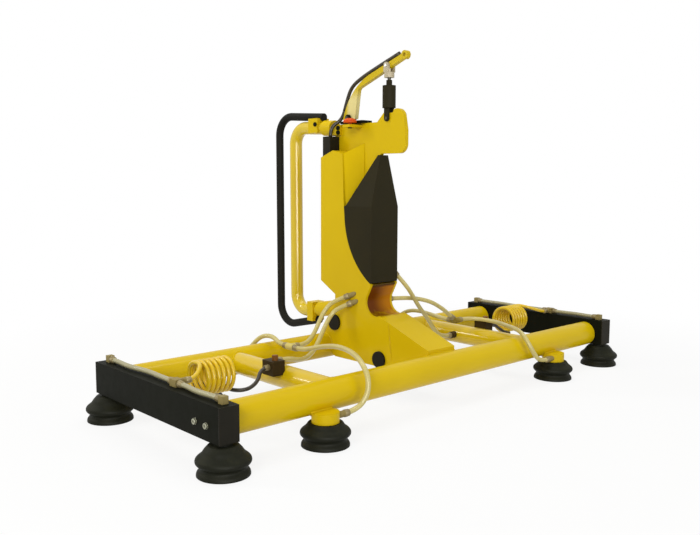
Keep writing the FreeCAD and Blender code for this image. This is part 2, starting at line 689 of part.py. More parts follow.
wide_column = prism(column_wire, both(COLUMN_HALF + OVERRUN))
cover = box(both(THROAT_HALF), THROAT_Y, THROAT_Z)
cover = cover.fuse(hip(THROAT_HALF, HIP_FOOT_Y, HIP_TOP_HALF, HIP_TOP_Y, HIP_TOP_Z))
hollow_half = THROAT_HALF - THROAT_WALL
hollow = box(both(hollow_half), (THROAT_Y[0] + THROAT_WALL, THROAT_Y[1] + OVERRUN), inset(THROAT_Z))
hip_hollow = hip(
    hollow_half, inset(HIP_FOOT_Y), HIP_TOP_HALF - THROAT_WALL, inset(HIP_TOP_Y), HIP_TOP_Z - THROAT_WALL
)
cover = cover.cut(hollow).cut(hip_hollow).cut(wide_column)
cover = cover.cut(nose_space)
export("throat_cover", cover.Solids)

# Vacuum unit
generator = box(both(GENERATOR_HALF), GENERATOR_Y, GENERATOR_Z)
generator = generator.fuse(upright(SILENCER_RADIUS, 0.0, SILENCER_Y, (GENERATOR_Z[1], SILENCER_HIGH)))
export("vacuum_reservoir", [box(both(RESERVOIR_HALF), RESERVOIR_Y, RESERVOIR_Z)])
export("vacuum_generator", [generator])

# Handle
d_envelope = bent_bar(D_ROUTE, D_BEND, D_RADIUS)
d_tube = d_envelope.cut(bent_bar(D_ROUTE, D_BEND, D_RADIUS - D_WALL)).cut(column_envelope)
grip = bent_bar(GRIP_ROUTE, GRIP_BEND, GRIP_RADIUS)
export("d_tube", d_tube.Solids)
export("grip_bar", [grip])

socket_start = Vector(0.0, *UPPER_SOCKET_START)
upper_socket = cylinder(HANDLE_SOCKET_RADIUS, socket_start, Vector(0.0, *UPPER_SOCKET_END))
for side in (-1.0, 1.0):
    cheek_x = sorted((side * NOSE_HALF, side * (NOSE_HALF + CHEEK)))
    upper_socket = upper_socket.fuse(box(cheek_x, CHEEK_Y, CHEEK_Z))
upper_socket = upper_socket.cut(d_envelope)
lower_start = Vector(0.0, *D_ROUTE[-1])
lower_socket = cylinder(HANDLE_SOCKET_RADIUS, lower_start, Vector(0.0, *LOWER_SOCKET_END))
lower_socket = lower_socket.cut(d_envelope).cut(column_envelope)
for bolt in handle_bolts:
    upper_socket = upper_socket.cut(bolt)
export("upper_handle_bracket", upper_socket.Solids)
export("lower_handle_bracket", lower_socket.Solids)

clamps = []
for y, z in ((CLAMP_UPPER_Y, CLAMP_UPPER_Z), (CLAMP_LOWER_Y, CLAMP_LOWER_Z)):
    clamps.extend(box(both(CLAMP_HALF), y, z).cut(d_envelope).cut(grip).Solids)
screw_in = (-CLAMP_HALF, CLAMP_SCREW_DEPTH - CLAMP_HALF)
clamp_screw = along_x(CLAMP_SCREW_RADIUS, screw_in, CLAMP_SCREW)
clamps = [clamp.cut(clamp_screw) for clamp in clamps]
clamp_screw = clamp_screw.fuse(
    along_x(CLAMP_HEAD_RADIUS, (-CLAMP_HALF - CLAMP_HEAD_HEIGHT, -CLAMP_HALF), CLAMP_SCREW)
)
export("grip_clamps", clamps)
export("handle_bolts", handle_bolts + [clamp_screw])

# Bracket of the arm, with the seat of the button
arm_pin = along_x(ARM_PIN_RADIUS, both(ARM_PIN_HALF), ARM_PIVOT)
ear_y = (ARM_PIVOT[0] - EAR_RADIUS, ARM_PIVOT[0] + EAR_RADIUS)
ear_x = (ARM_HALF + EAR_GAP, ARM_HALF + EAR_GAP + EAR)
ear = along_x(EAR_RADIUS, ear_x, ARM_PIVOT).fuse(box(ear_x, ear_y, (BASE_Z[1], ARM_PIVOT[1])))
bracket = box(both(BASE_HALF), BASE_Y, BASE_Z)
for part in [ear] + mirror_x([ear]):
    bracket = bracket.fuse(part)
export("arm_bracket", [bracket.cut(arm_pin)])
export("pivot_pins", [arm_pin, cylinder_pin])

button = revolved(
    (
        (0.0, BUTTON_STEM_LOW), (BUTTON_STEM_RADIUS, BUTTON_STEM_LOW), (BUTTON_STEM_RADIUS, BUTTON_HEAD_LOW),
        (BUTTON_HEAD_RADIUS, BUTTON_HEAD_LOW), (BUTTON_HEAD_RADIUS, BUTTON_RIM_HIGH),
        (BUTTON_TOP_RADIUS, BUTTON_TOP), (0.0, BUTTON_TOP),
    ),
    BUTTON_X,
    BUTTON_Y,
)
export("release_button", [button])

inlet = box(INLET_X, INLET_Y, INLET_Z).cut(column_envelope)
export("air_inlet_block", inlet.Solids)


# Suspension arm
def rounded(before, corner, after, radius):
    points = [Vector(0.0, *point) for point in (before, corner, after)]
    start, middle, end = bend(points[0], points[1], points[2], radius)
    return (start.y, start.z), (middle.y, middle.z, end.y, end.z)


outer_start, outer_arc = rounded(ARM_END_OUTER, ARM_BEND_OUTER, ARM_FOOT_OUTER, ARM_OUTER_RADIUS)
inner_start, inner_arc = rounded(ARM_FOOT_INNER, ARM_BEND_INNER, ARM_END_INNER, ARM_INNER_RADIUS)
arm_wire = outline_wire(
    (
        ARM_END_OUTER, outer_start, outer_arc, ARM_FOOT_OUTER,
        ARM_FOOT_INNER, inner_start, inner_arc, ARM_END_INNER,
    )
)
arm = prism(arm_wire, both(ARM_HALF)).fuse(along_x(ARM_EYE_RADIUS, both(ARM_HALF), ARM_EYE))
arm = arm.cut(along_x(HANGER_RADIUS, both(ARM_HALF), ARM_EYE))
rod_pin = along_x(ROD_PIN_RADIUS, both(ROD_PIN_HALF), ROD_PIN)
arm = arm.cut(rod_pin)
arm = arm.cut(along_x(ARM_PIN_RADIUS + RUNNING_FIT, both(ARM_PIN_HALF), ARM_PIVOT))
export("suspension_arm", arm.Solids)
export("rod_pin", [rod_pin])

# Air hose clipped along the back of the arm, then free to the inlet block
stand_off = AIR_HOSE_RADIUS + AIR_HOSE_GAP
arm_way = (Vector(0.0, *ARM_END_OUTER) - Vector(0.0, *ARM_BEND_OUTER)).normalize()
foot_way = (Vector(0.0, *ARM_FOOT_OUTER) - Vector(0.0, *ARM_BEND_OUTER)).normalize()
arm_side = Vector(0.0, -arm_way.z, arm_way.y)
if arm_side.z < 0.0:
    arm_side = arm_side * -1.0
foot_side = Vector(0.0, -foot_way.z, foot_way.y)
if foot_side.y < 0.0:
    foot_side = foot_side * -1.0
half_turn = arm_side.getAngle(foot_side) / 2.0
hose_corner = (arm_side + foot_side).normalize() * (stand_off / math.cos(half_turn))
hose_corner = Vector(0.0, *ARM_BEND_OUTER) + hose_corner
hose_start = Vector(0.0, *ARM_END_OUTER) + arm_side * stand_off - arm_way * AIR_HOSE_SETBACK
for point in (hose_start, hose_corner):
    point.x = AIR_HOSE_X
hose_end = hose_corner + foot_way * ((AIR_HOSE_FOOT_Z - hose_corner.z) / foot_way.z)
inlet_bend = hose_end + foot_way * INLET_LEAD
arm_hose_wire = route_wire([hose_start, hose_corner, hose_end], ARM_OUTER_RADIUS + stand_off)[0]
export("arm_hose", [swept(arm_hose_wire, hose_start, hose_corner - hose_start, AIR_HOSE_RADIUS)])
export("inlet_hose", [hose((tuple(hose_end), tuple(inlet_bend)) + INLET_ROUTE, AIR_HOSE_RADIUS)])
print("arm hose from", hose_start, "by", hose_corner, "to", hose_end)

# Levelling cylinder
fork = along_x(FORK_RADIUS, both(FORK_OUTER), CYLINDER_PIN)
fork_y = (CYLINDER_PIN[0] - FORK_RADIUS, CYLINDER_PIN[0] + FORK_RADIUS)
fork = fork.fuse(box(both(FORK_OUTER), fork_y, (CYLINDER_PIN[1], BARREL_Z[0])))
fork_slot = (fork_y[0] - OVERRUN, fork_y[1] + OVERRUN)
fork = fork.cut(box(both(FORK_INNER), fork_slot, (CYLINDER_PIN[1] - BARREL_RADIUS, BARREL_Z[0])))
fork = fork.cut(along_x(CYLINDER_PIN_RADIUS + RUNNING_FIT, both(FORK_OUTER), CYLINDER_PIN))
axis_y = CYLINDER_PIN[0]
barrel = upright(BARREL_RADIUS, 0.0, axis_y, BARREL_Z).fuse(
    upright(NECK_RADIUS, 0.0, axis_y, (BARREL_Z[1], NECK_HIGH))
)
barrel = barrel.cut(upright(BARREL_BORE, 0.0, axis_y, (BARREL_Z[0] + BARREL_BASE, BARREL_Z[1] - BARREL_HEAD)))
barrel = barrel.cut(upright(STEM_RADIUS + RUNNING_FIT, 0.0, axis_y, (BARREL_Z[1] - BARREL_HEAD, NECK_HIGH)))
export("cylinder_barrel", barrel.fuse(fork).Solids)
stem_high = ROD_END_Z[0] + STEM_SOCKET
stem = upright(STEM_RADIUS, 0.0, axis_y, (PISTON_Z[1], stem_high))
stem = stem.fuse(upright(BARREL_BORE - RUNNING_FIT, 0.0, axis_y, PISTON_Z))
export("cylinder_rod", [stem])
rod_end = upright(ROD_END_RADIUS, 0.0, axis_y, ROD_END_Z)
clevis_y = (axis_y - CLEVIS_RADIUS, axis_y + CLEVIS_RADIUS)
clevis = along_x(CLEVIS_RADIUS, both(ROD_END_RADIUS), ROD_PIN)
clevis = clevis.fuse(box(both(ROD_END_RADIUS), clevis_y, (CLEVIS_LOW, ROD_PIN[1])))
rod_end = rod_end.fuse(clevis)
slot_y = both(ROD_END_RADIUS + OVERRUN)
rod_end = rod_end.cut(box(both(CLEVIS_GAP), slot_y, (CLEVIS_LOW, ROD_PIN[1] + ROD_END_RADIUS)))
rod_end = rod_end.cut(along_x(ROD_PIN_RADIUS + EYE_CLEARANCE, both(ROD_END_RADIUS), ROD_PIN))
export("rod_end", rod_end.cut(stem).Solids)


# Hoses on the frame
def fitting(route):
    """Stub on a side plate in line with the first run of a hose."""
    start = Vector(*route[0])
    way = (start - Vector(*route[1])).normalize()
    reach = (abs(start.x) - COLUMN_HALF) / abs(way.x) + FITTING_RADIUS * COLUMN_HALF / PLATE
    return cylinder(FITTING_RADIUS, start, start + way * reach).cut(fitting_slab).Solids[0]


fitting_slab = box(both(COLUMN_HALF), both(BAR_X), (0.0, BAR_X))
feed_routes = (LEFT_FEED_ROUTE, LEFT_MANIFOLD_ROUTE, RIGHT_FEED_ROUTE, RIGHT_LOWER_ROUTE)
export("column_fittings", [fitting(route) for route in feed_routes])
manifold = box(MANIFOLD_X, MANIFOLD_Y, MANIFOLD_Z).cut(cross_envelope)
manifold = manifold.fuse(upright(KNOB_RADIUS, KNOB_X, KNOB_Y, (MANIFOLD_Z[1], KNOB_HIGH)))
gallery_fitting = along_x(GALLERY_RADIUS, (GALLERY_END_X, CROSS_X), (GALLERY_Y, GALLERY_Z))
gallery_fitting = gallery_fitting.cut(mirror_x([cross_envelope])[0])
export("hose_manifolds", manifold.Solids + mirror_x(manifold.Solids) + gallery_fitting.Solids)
tee_run = [Vector(LEFT_TEE_CENTRE[0], y, LEFT_TEE_CENTRE[2]) for y in LEFT_TEE_Y]
left_tee = cylinder(TEE_RADIUS, *tee_run)
left_tee = left_tee.fuse(cylinder(TEE_RADIUS, Vector(*LEFT_TEE_CENTRE), Vector(*LEFT_TEE_INLET)))
right_tee = along_x(TEE_RADIUS, RIGHT_TEE_X, RIGHT_TEE_CENTRE[1:])
for end in (RIGHT_TEE_INLET, RIGHT_TEE_REAR):
    right_tee = right_tee.fuse(cylinder(TEE_RADIUS, Vector(*RIGHT_TEE_CENTRE), Vector(*end)))
export("hose_tee", left_tee.Solids + right_tee.Solids)
export("left_cup_hoses", [hose(LEFT_FRONT_ROUTE, HOSE_RADIUS), hose(LEFT_REAR_ROUTE, HOSE_RADIUS)])
export("right_cup_hoses", [hose(RIGHT_FRONT_ROUTE, HOSE_RADIUS), hose(RIGHT_REAR_ROUTE, HOSE_RADIUS)])
export("left_feed_hoses", [hose(LEFT_FEED_ROUTE, HOSE_RADIUS), hose(LEFT_MANIFOLD_ROUTE, HOSE_RADIUS)])
export("right_feed_hoses", [hose(RIGHT_FEED_ROUTE, HOSE_RADIUS), hose(RIGHT_LOWER_ROUTE, HOSE_RADIUS)])

# Hoses and fittings on the end bars
bar_hoses = [hose(BAR_FRONT_ROUTE, BAR_HOSE_RADIUS), hose(BAR_REAR_ROUTE, BAR_HOSE_RADIUS)]
bar_elbow = box(BAR_ELBOW_X, BAR_ELBOW_Y, BAR_FITTING_Z)
branch = along_x(FITTING_RADIUS, (BAR_TEE_X[1], TEE_BRANCH_END), COIL_BAR_END[1:])
bar_tee = box(BAR_TEE_X, BAR_TEE_Y, BAR_FITTING_Z).fuse(branch)
bar_fittings = [bar_tee, bar_elbow] + mirror_y([bar_elbow])
export("left_bar_hoses", bar_hoses)
export("right_bar_hoses", mirror_x(bar_hoses))
export("left_bar_fittings", bar_fittings)
export("right_bar_fittings", mirror_x(bar_fittings))


# Coil hoses
def coil_knots():
    turn = 2.0 * math.pi
    slope = COIL_PITCH / (turn * COIL_RADIUS)
    knots = [(Vector(*COIL_BAR_END), AXIS_X)]
    for index in range(COIL_QUARTERS + 1):
        angle = turn * index / QUARTERS
        point = Vector(
            COIL_START_X + COIL_PITCH * index / QUARTERS,
            COIL_AXIS_Y + COIL_RADIUS * math.sin(angle),
            COIL_AXIS_Z + COIL_RADIUS * math.cos(angle),
        )
        knots.append((point, Vector(slope, math.cos(angle), -math.sin(angle)).normalize()))
    knots.append((Vector(*COIL_MID_POINT), Vector(*COIL_MID_DIRECTION).normalize()))
    knots.append((Vector(*COIL_BLOCK_END), AXIS_X))
    return knots


coil_edges = []
for (start, start_way), (end, end_way) in zip(coil_knots(), coil_knots()[1:]):
    coil_edges.extend(biarc(start, start_way, end, end_way))
coil_wire = Part.Wire(coil_edges)
coil = swept(coil_wire, Vector(*COIL_BAR_END), AXIS_X, COIL_HOSE_RADIUS)
coil_section = math.pi * COIL_HOSE_RADIUS ** 2
print("coil: volume share %.4f" % (coil.Volume / (coil_section * coil_wire.Length)))
print("coil: least bend radius %.1f" % min(edge.Curve.Radius for edge in coil_edges))
print("coil: gap between turns %.2f" % (COIL_PITCH - 2.0 * COIL_HOSE_RADIUS))
export("left_coil_hose", [coil])
export("right_coil_hose", mirror_x([coil]))
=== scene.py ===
import json
import math

import bmesh
import bpy
from mathutils import Matrix, Vector


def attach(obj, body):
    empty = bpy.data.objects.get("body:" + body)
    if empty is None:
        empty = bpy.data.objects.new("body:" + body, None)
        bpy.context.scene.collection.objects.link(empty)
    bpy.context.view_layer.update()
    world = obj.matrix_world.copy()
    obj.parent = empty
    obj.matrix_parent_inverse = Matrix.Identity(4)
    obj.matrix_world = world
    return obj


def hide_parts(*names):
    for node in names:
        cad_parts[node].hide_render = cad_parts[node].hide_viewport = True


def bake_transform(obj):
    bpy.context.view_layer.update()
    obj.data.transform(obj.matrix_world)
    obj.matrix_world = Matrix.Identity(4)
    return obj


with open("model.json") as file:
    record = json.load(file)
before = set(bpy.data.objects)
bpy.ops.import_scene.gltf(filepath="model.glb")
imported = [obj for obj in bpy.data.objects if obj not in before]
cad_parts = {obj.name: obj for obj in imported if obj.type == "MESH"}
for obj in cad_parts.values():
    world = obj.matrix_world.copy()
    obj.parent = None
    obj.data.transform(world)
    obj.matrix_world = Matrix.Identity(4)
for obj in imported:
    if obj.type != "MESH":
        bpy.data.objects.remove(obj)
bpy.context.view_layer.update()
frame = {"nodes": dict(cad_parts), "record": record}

MM = 0.001
TURN = 2.0 * math.pi
WHITE = (1.0, 1.0, 1.0, 1.0)
scene = bpy.context.scene
cad = frame["nodes"]


# Small graph language shared by the finishes and the geometry recipes
def feed(tree, slot, value):
    if isinstance(value, Flow):
        tree.links.new(value.socket, slot)
    else:
        slot.default_value = value


class Flow:
    """A value on its way through a graph, with the arithmetic used on it."""

    def __init__(self, tree, socket):
        self.tree = tree
        self.socket = socket

    def maths(self, operation, first, second):
        node = self.tree.nodes.new("ShaderNodeMath")
        node.operation = operation
        feed(self.tree, node.inputs[0], first)
        feed(self.tree, node.inputs[1], second)
        return Flow(self.tree, node.outputs[0])

    def __add__(self, other):
        return self.maths("ADD", self, other)

    __radd__ = __add__

    def __sub__(self, other):
        return self.maths("SUBTRACT", self, other)

    def __rsub__(self, other):
        return self.maths("SUBTRACT", other, self)

    def __mul__(self, other):
        return self.maths("MULTIPLY", self, other)


class Graph:
    """Makes any node: its type, its settings, then the values or links of its sockets."""

    def __init__(self, tree):
        self.tree = tree

    def node(self, kind, settings=None, sockets=None, out=0):
        made = self.tree.nodes.new(kind)
        for name, value in (settings or {}).items():
            setattr(made, name, value)
        for key, value in (sockets or {}).items():
            feed(self.tree, made.inputs[key], value)
        return Flow(self.tree, made.outputs[out]) if made.outputs else made

    def largest(self, first, second):
        return self.node("ShaderNodeMath", {"operation": "MAXIMUM"}, {0: first, 1: second})

    def seen(self):
        """1 for rays from the camera, gloss or glass, and 0 for those that light the object."""
        camera_ray = self.node("ShaderNodeLightPath", out="Is Camera Ray")
        gloss_ray = self.node("ShaderNodeLightPath", out="Is Glossy Ray")
        glass_ray = self.node("ShaderNodeLightPath", out="Is Transmission Ray")
        return self.largest(self.largest(camera_ray, gloss_ray), glass_ray)


# The colour sockets of a Mix node share their names with other kinds, so they go by number
MIX_SHARE = 0
MIX_FIRST = 6
MIX_SECOND = 7
MIX_COLOUR = 2
BEVEL_SAMPLES = 4
ARRIS_SPAN = (0.01, 0.2)


class Finish(Graph):
    """One procedural material."""

    def __init__(self, name):
        self.material = bpy.data.materials.new(name)
        self.material.use_nodes = True
        super().__init__(self.material.node_tree)
        self.tree.nodes.clear()

    def place(self):
        return self.node("ShaderNodeTexCoord", out="Object")

    def noise(self, where, scale, detail=2.0, rough=0.5):
        sockets = {"Vector": where, "Scale": scale, "Detail": detail, "Roughness": rough}
        return self.node("ShaderNodeTexNoise", {"noise_dimensions": "3D"}, sockets)

    def ramp(self, value, low, high, start=0.0, end=1.0):
        sockets = {"Value": value, "From Min": low, "From Max": high, "To Min": start, "To Max": end}
        return self.node("ShaderNodeMapRange", {"interpolation_type": "SMOOTHSTEP"}, sockets)

    def mix(self, share, first, second):
        sockets = {MIX_SHARE: share, MIX_FIRST: first, MIX_SECOND: second}
        return self.node("ShaderNodeMix", {"data_type": "RGBA"}, sockets, out=MIX_COLOUR)

    def part_of(self, vector, axis):
        return self.node("ShaderNodeSeparateXYZ", None, {0: vector}, out=axis)

    def stretched(self, where, scale):
        return self.node("ShaderNodeMapping", None, {"Vector": where, "Scale": scale})

    def rounded(self, radius):
        """Normal with every arris eased, and how near the point is to one."""
        eased = self.node("ShaderNodeBevel", {"samples": BEVEL_SAMPLES}, {"Radius": radius})
        normals = {0: eased, 1: self.node("ShaderNodeNewGeometry", out="Normal")}
        level = self.node("ShaderNodeVectorMath", {"operation": "DOT_PRODUCT"}, normals, out="Value")
        return eased, self.ramp(1.0 - level, *ARRIS_SPAN)

    def bump(self, height, strength, depth, normal=None):
        sockets = {"Strength": strength, "Distance": depth, "Height": height}
        if normal is not None:
            sockets["Normal"] = normal
        return self.node("ShaderNodeBump", None, sockets)

    def surface(self, **sockets):
        values = {key.replace("_", " "): value for key, value in sockets.items()}
        shader = self.node("ShaderNodeBsdfPrincipled", None, values)
        self.node("ShaderNodeOutputMaterial", None, {"Surface": shader})
        return self.material


def rgb(red, green, blue):
    """Display colour from 0 to 255 as the linear one that shaders take."""
    def linear(level):
        level = level / 255.0
        return level / 12.92 if level <= 0.04045 else ((level + 0.055) / 1.055) ** 2.4
    return (linear(red), linear(green), linear(blue), 1.0)


def tone(red, green, blue):
    """Linear colour of a bare metal."""
    return (red, green, blue, 1.0)


# Finishes: pattern scales are in repeats per metre, places and depths in metres
CLOUD_DETAIL = 3.0
GRIT_DETAIL = 5.0
CLOUD_DULLS = (0.3, 0.7, 0.0, 0.08)
DULL_SHINE = 0.08
FINE_SKIN = 900.0
PAINT_CLOUD = 4.0
PAINT_PATCHES = (0.3, 0.75)
PAINT_ARRIS = 2.2 * MM
PAINT_COAT_BLUR = 0.14
PAINT_PEEL = 420.0
PEEL_STRENGTH = 0.08
PEEL_DEPTH = 0.3 * MM
PAINT_DUST = 60.0
DUST_GRIT = 0.65
DUST_SPOTS = (0.62, 0.85, 0.0, 0.2)
DUST_DULLS = (0.3, 0.8, 0.0, 0.08)
CHIP_BIAS = 0.55
CHIP_SPAN = (0.74, 0.96)
CHIP_DULLS = 0.2
CHIPPED_SHARE = 0.4
THINNED_SHARE = 0.3


def painted(name, paint, rough, coat, shine, tint=None):
    """Sprayed enamel: slow change of film, orange peel, and a paler worn arris."""
    colour, thin, deep = paint
    made = Finish(name)
    where = made.place()
    cloud = made.noise(where, PAINT_CLOUD, CLOUD_DETAIL)
    dust = made.noise(where, PAINT_DUST, GRIT_DETAIL, DUST_GRIT)
    peel = made.noise(where, PAINT_PEEL)
    eased, edge = made.rounded(PAINT_ARRIS)
    chips = made.ramp(edge * (CHIP_BIAS + dust), *CHIP_SPAN)
    film = made.mix(made.ramp(cloud, *PAINT_PATCHES), deep, colour)
    film = made.mix(made.ramp(dust, *DUST_SPOTS), film, deep)
    # A tint adds the part's own colours, or painted light: painted shade in the notch, a painted highlight
    # on the arm's foot
    if tint is not None:
        film = tint(made, where, film)
    film = made.mix(edge * THINNED_SHARE, film, thin)
    film = made.mix(chips * CHIPPED_SHARE, film, deep)
    return made.surface(
        Base_Color=film, Roughness=rough + made.ramp(dust, *DUST_DULLS) + chips * CHIP_DULLS,
        Coat_Weight=coat, Coat_Roughness=PAINT_COAT_BLUR, Specular_IOR_Level=shine,
        Normal=made.bump(peel, PEEL_STRENGTH, PEEL_DEPTH, eased),
    )


# Painted highlight: pale cream low on the inside of the arm's foot
FOOT_HIGHLIGHT_CREAM = rgb(226, 214, 150)
FOOT_HIGHLIGHT_SHARE = 0.85
FOOT_FADE_Z = (0.885, 0.845)
FOOT_FADE_Y = (0.178, 0.160)


def foot_painted_highlight(made, where, film):
    """Painted highlight: the paint pales to cream down the inside of the arm's foot."""
    low = made.ramp(made.part_of(where, "Z"), *FOOT_FADE_Z)
    inner = made.ramp(made.part_of(where, "Y"), *FOOT_FADE_Y)
    return made.mix(low * inner * FOOT_HIGHLIGHT_SHARE, film, FOOT_HIGHLIGHT_CREAM)


# Painted shade in the throat's notch: brown near the notch centre, going from dark on the -X side to paler
# brown towards +X
NOTCH_CENTRE = (0.0, 0.002, 0.262)
NOTCH_FADE = (0.056, 0.046)
NOTCH_SPAN = (-0.03, 0.045)
NOTCH_ROOF = (0.298, 0.306)
NOTCH_ROOF_REACH = 0.03
NOTCH_EDGE_NOISE = 70.0
NOTCH_UNEVEN = 0.012
NOTCH_SHADE_DEEP = rgb(104, 52, 4)
NOTCH_SHADE_PALE = rgb(184, 118, 6)
NOTCH_COVER_SHADE = rgb(72, 46, 10)


def notch_painted_shade(made, where, film):
    """Painted shade inside the notch of the throat: browns the paint, darker towards -X and darkest under
    the cover.
    """
    offset = made.node("ShaderNodeVectorMath", {"operation": "SUBTRACT"}, {0: where, 1: NOTCH_CENTRE})
    in_section = {1: made.part_of(offset, "Y"), 2: made.part_of(offset, "Z")}
    flat = made.node("ShaderNodeCombineXYZ", None, in_section)
    away = made.node("ShaderNodeVectorMath", {"operation": "LENGTH"}, {0: flat}, out="Value")
    # The roof band just under the black cover gets the darkest painted shade
    roof = made.ramp(made.part_of(where, "Z"), *NOTCH_ROOF)
    uneven = away + made.noise(where, NOTCH_EDGE_NOISE, CLOUD_DETAIL) * NOTCH_UNEVEN - roof * NOTCH_ROOF_REACH
    shade = made.mix(made.ramp(made.part_of(where, "X"), *NOTCH_SPAN), NOTCH_SHADE_DEEP, NOTCH_SHADE_PALE)
    shade = made.mix(roof, shade, NOTCH_COVER_SHADE)
    return made.mix(made.ramp(uneven, *NOTCH_FADE), film, shade)


MOULD_CLOUD = 9.0
MOULD_PATCHES = (0.3, 0.75, 0.0, 0.5)
MOULD_ARRIS = 2.5 * MM
ARRIS_PALES = 0.4
ARRIS_POLISH = 0.1
ETCH_STRENGTH = 0.3
ETCH_DEPTH = 0.2 * MM


def moulded(name, colour, light, grain, rough, depth=ETCH_DEPTH, tint=None):
    """Moulded plastic with a fine etched grain and slightly polished arrises."""
    made = Finish(name)
    where = made.place()
    cloud = made.noise(where, MOULD_CLOUD, CLOUD_DETAIL)
    pits = made.node("ShaderNodeTexVoronoi", {"feature": "F1"}, {"Vector": where, "Scale": grain})
    eased, edge = made.rounded(MOULD_ARRIS)
    film = made.mix(made.ramp(cloud, *MOULD_PATCHES), colour, light)
    film = made.mix(edge * ARRIS_PALES, film, light)
    if tint is not None:
        film = tint(made, where, film)
    return made.surface(
        Base_Color=film, Roughness=rough - edge * ARRIS_POLISH + made.ramp(cloud, *CLOUD_DULLS),
        Specular_IOR_Level=DULL_SHINE, Normal=made.bump(pits, ETCH_STRENGTH, depth, eased),
    )


KNOB_BROWN = rgb(120, 76, 30)
KNOB_FOOT_Z = (0.1543, 0.1547)
TEE_MILKY = rgb(206, 190, 112)
TEE_SIDES_X = (0.01, -0.01)


def brown_knob(made, where, film):
    """Brown above the top of the manifold block."""
    return made.mix(made.ramp(made.part_of(where, "Z"), *KNOB_FOOT_Z), film, KNOB_BROWN)


def pale_left(made, where, film):
    """Milky on the left of the frame, brown on the right."""
    return made.mix(made.ramp(made.part_of(where, "X"), *TEE_SIDES_X), film, TEE_MILKY)


RUBBER_CLOUD = 28.0
RUBBER_GRIT = 0.6
RUBBER_SKIN_STRENGTH = 0.2
RUBBER_SKIN_DEPTH = 0.3 * MM
BLOOM_FACING_UP = (0.1, 0.9)
BLOOM_PATCHES = (0.35, 0.75)
BLOOM_SHARE = 0.6
BLOOM_DULLS = 0.12


def rubber(name, colour, bloom, rough):
    """Moulded rubber with a dusty bloom on what faces up and a fine skin."""
    made = Finish(name)
    where = made.place()
    cloud = made.noise(where, RUBBER_CLOUD, GRIT_DETAIL, RUBBER_GRIT)
    skin = made.noise(where, FINE_SKIN)
    up = made.part_of(made.node("ShaderNodeNewGeometry", out="Normal"), "Z")
    dusty = made.ramp(up, *BLOOM_FACING_UP) * made.ramp(cloud, *BLOOM_PATCHES)
    return made.surface(
        Base_Color=made.mix(dusty * BLOOM_SHARE, colour, bloom), Roughness=rough + dusty * BLOOM_DULLS,
        Specular_IOR_Level=DULL_SHINE,
        Normal=made.bump(skin, RUBBER_SKIN_STRENGTH, RUBBER_SKIN_DEPTH),
    )


METAL_LINES = 90.0
METAL_CLOUD = 14.0
METAL_PATCHES = (0.35, 0.7)
METAL_ARRIS = 0.4 * MM
LINE_STRENGTH = 0.03
LINE_DEPTH = 0.05 * MM
LINE_DULLS = (0.3, 0.7, 0.0, 0.1)
LINES_ROUND_Z = (1.0, 1.0, 6.0)
LINES_ALONG_X = (1.0, 6.0, 6.0)


def metal(name, colour, dark, rough, lines_run=LINES_ROUND_Z, metallic=1.0, arris=METAL_ARRIS):
    """Turned or drawn metal: fine lines round or along the piece."""
    made = Finish(name)
    where = made.place()
    lines = made.noise(made.stretched(where, lines_run), METAL_LINES)
    cloud = made.noise(where, METAL_CLOUD, CLOUD_DETAIL)
    eased = made.rounded(arris)[0] if arris else None
    film = made.mix(made.ramp(cloud, *METAL_PATCHES), dark, colour)
    return made.surface(
        Base_Color=film, Metallic=metallic, Roughness=rough + made.ramp(lines, *LINE_DULLS),
        Normal=made.bump(lines, LINE_STRENGTH, LINE_DEPTH, eased),
    )


THREADS_PER_METRE = 160.0
THREAD_STARTS = 3.0
THREAD_SPAN = (0.86, 0.99)
THREAD_STRENGTH = 0.2
THREAD_DEPTH = 0.2 * MM
TUBE_CLOUD = 20.0
TUBE_PATCHES = (0.35, 0.75, 0.0, 0.35)
TUBE_COAT_BLUR = 0.12
TUBE_SHINE = 0.3
TAIL_DARK = rgb(42, 34, 16)
TAIL_FADE = 0.004


def tubing(name, colour, thread, rough, coat, braid, tail=None):
    """Flexible tube with reinforcing threads that cross round its wall; its map runs in metres along."""
    made = Finish(name)
    chart = made.node("ShaderNodeUVMap", {"uv_map": "along_tube"})
    along = made.part_of(chart, "X")
    lead = along * THREADS_PER_METRE
    wind = made.part_of(chart, "Y") * THREAD_STARTS
    right = made.node("ShaderNodeMath", {"operation": "SINE"}, {0: (lead + wind) * TURN})
    left = made.node("ShaderNodeMath", {"operation": "SINE"}, {0: (lead - wind) * TURN})
    threads = made.ramp(made.largest(right, left), *THREAD_SPAN)
    cloud = made.noise(made.place(), TUBE_CLOUD, CLOUD_DETAIL)
    film = made.mix(threads * braid, colour, thread)
    film = made.mix(made.ramp(cloud, *TUBE_PATCHES), film, thread)
    if tail is not None:
        film = made.mix(made.ramp(along, tail - TAIL_FADE, tail), film, TAIL_DARK)
    return made.surface(
        Base_Color=film, Roughness=rough + made.ramp(cloud, *CLOUD_DULLS), Coat_Weight=coat,
        Coat_Roughness=TUBE_COAT_BLUR, Specular_IOR_Level=TUBE_SHINE,
        Normal=made.bump(threads, THREAD_STRENGTH * braid, THREAD_DEPTH),
    )


BUTTON_REDS = (rgb(206, 72, 6), rgb(216, 86, 10))
BUTTON_CLOUD = 60.0
BUTTON_PATCHES = (0.3, 0.7)
BUTTON_ROUGH = 0.4
BUTTON_DULLS = (0.3, 0.7, 0.0, 0.1)
BUTTON_SHINE = 0.12
BUTTON_SKIN_STRENGTH = 0.1
BUTTON_SKIN_DEPTH = 0.2 * MM
BUTTON_STEM_FADE = (0.772, 0.770)
STEM_DARK = rgb(52, 44, 22)


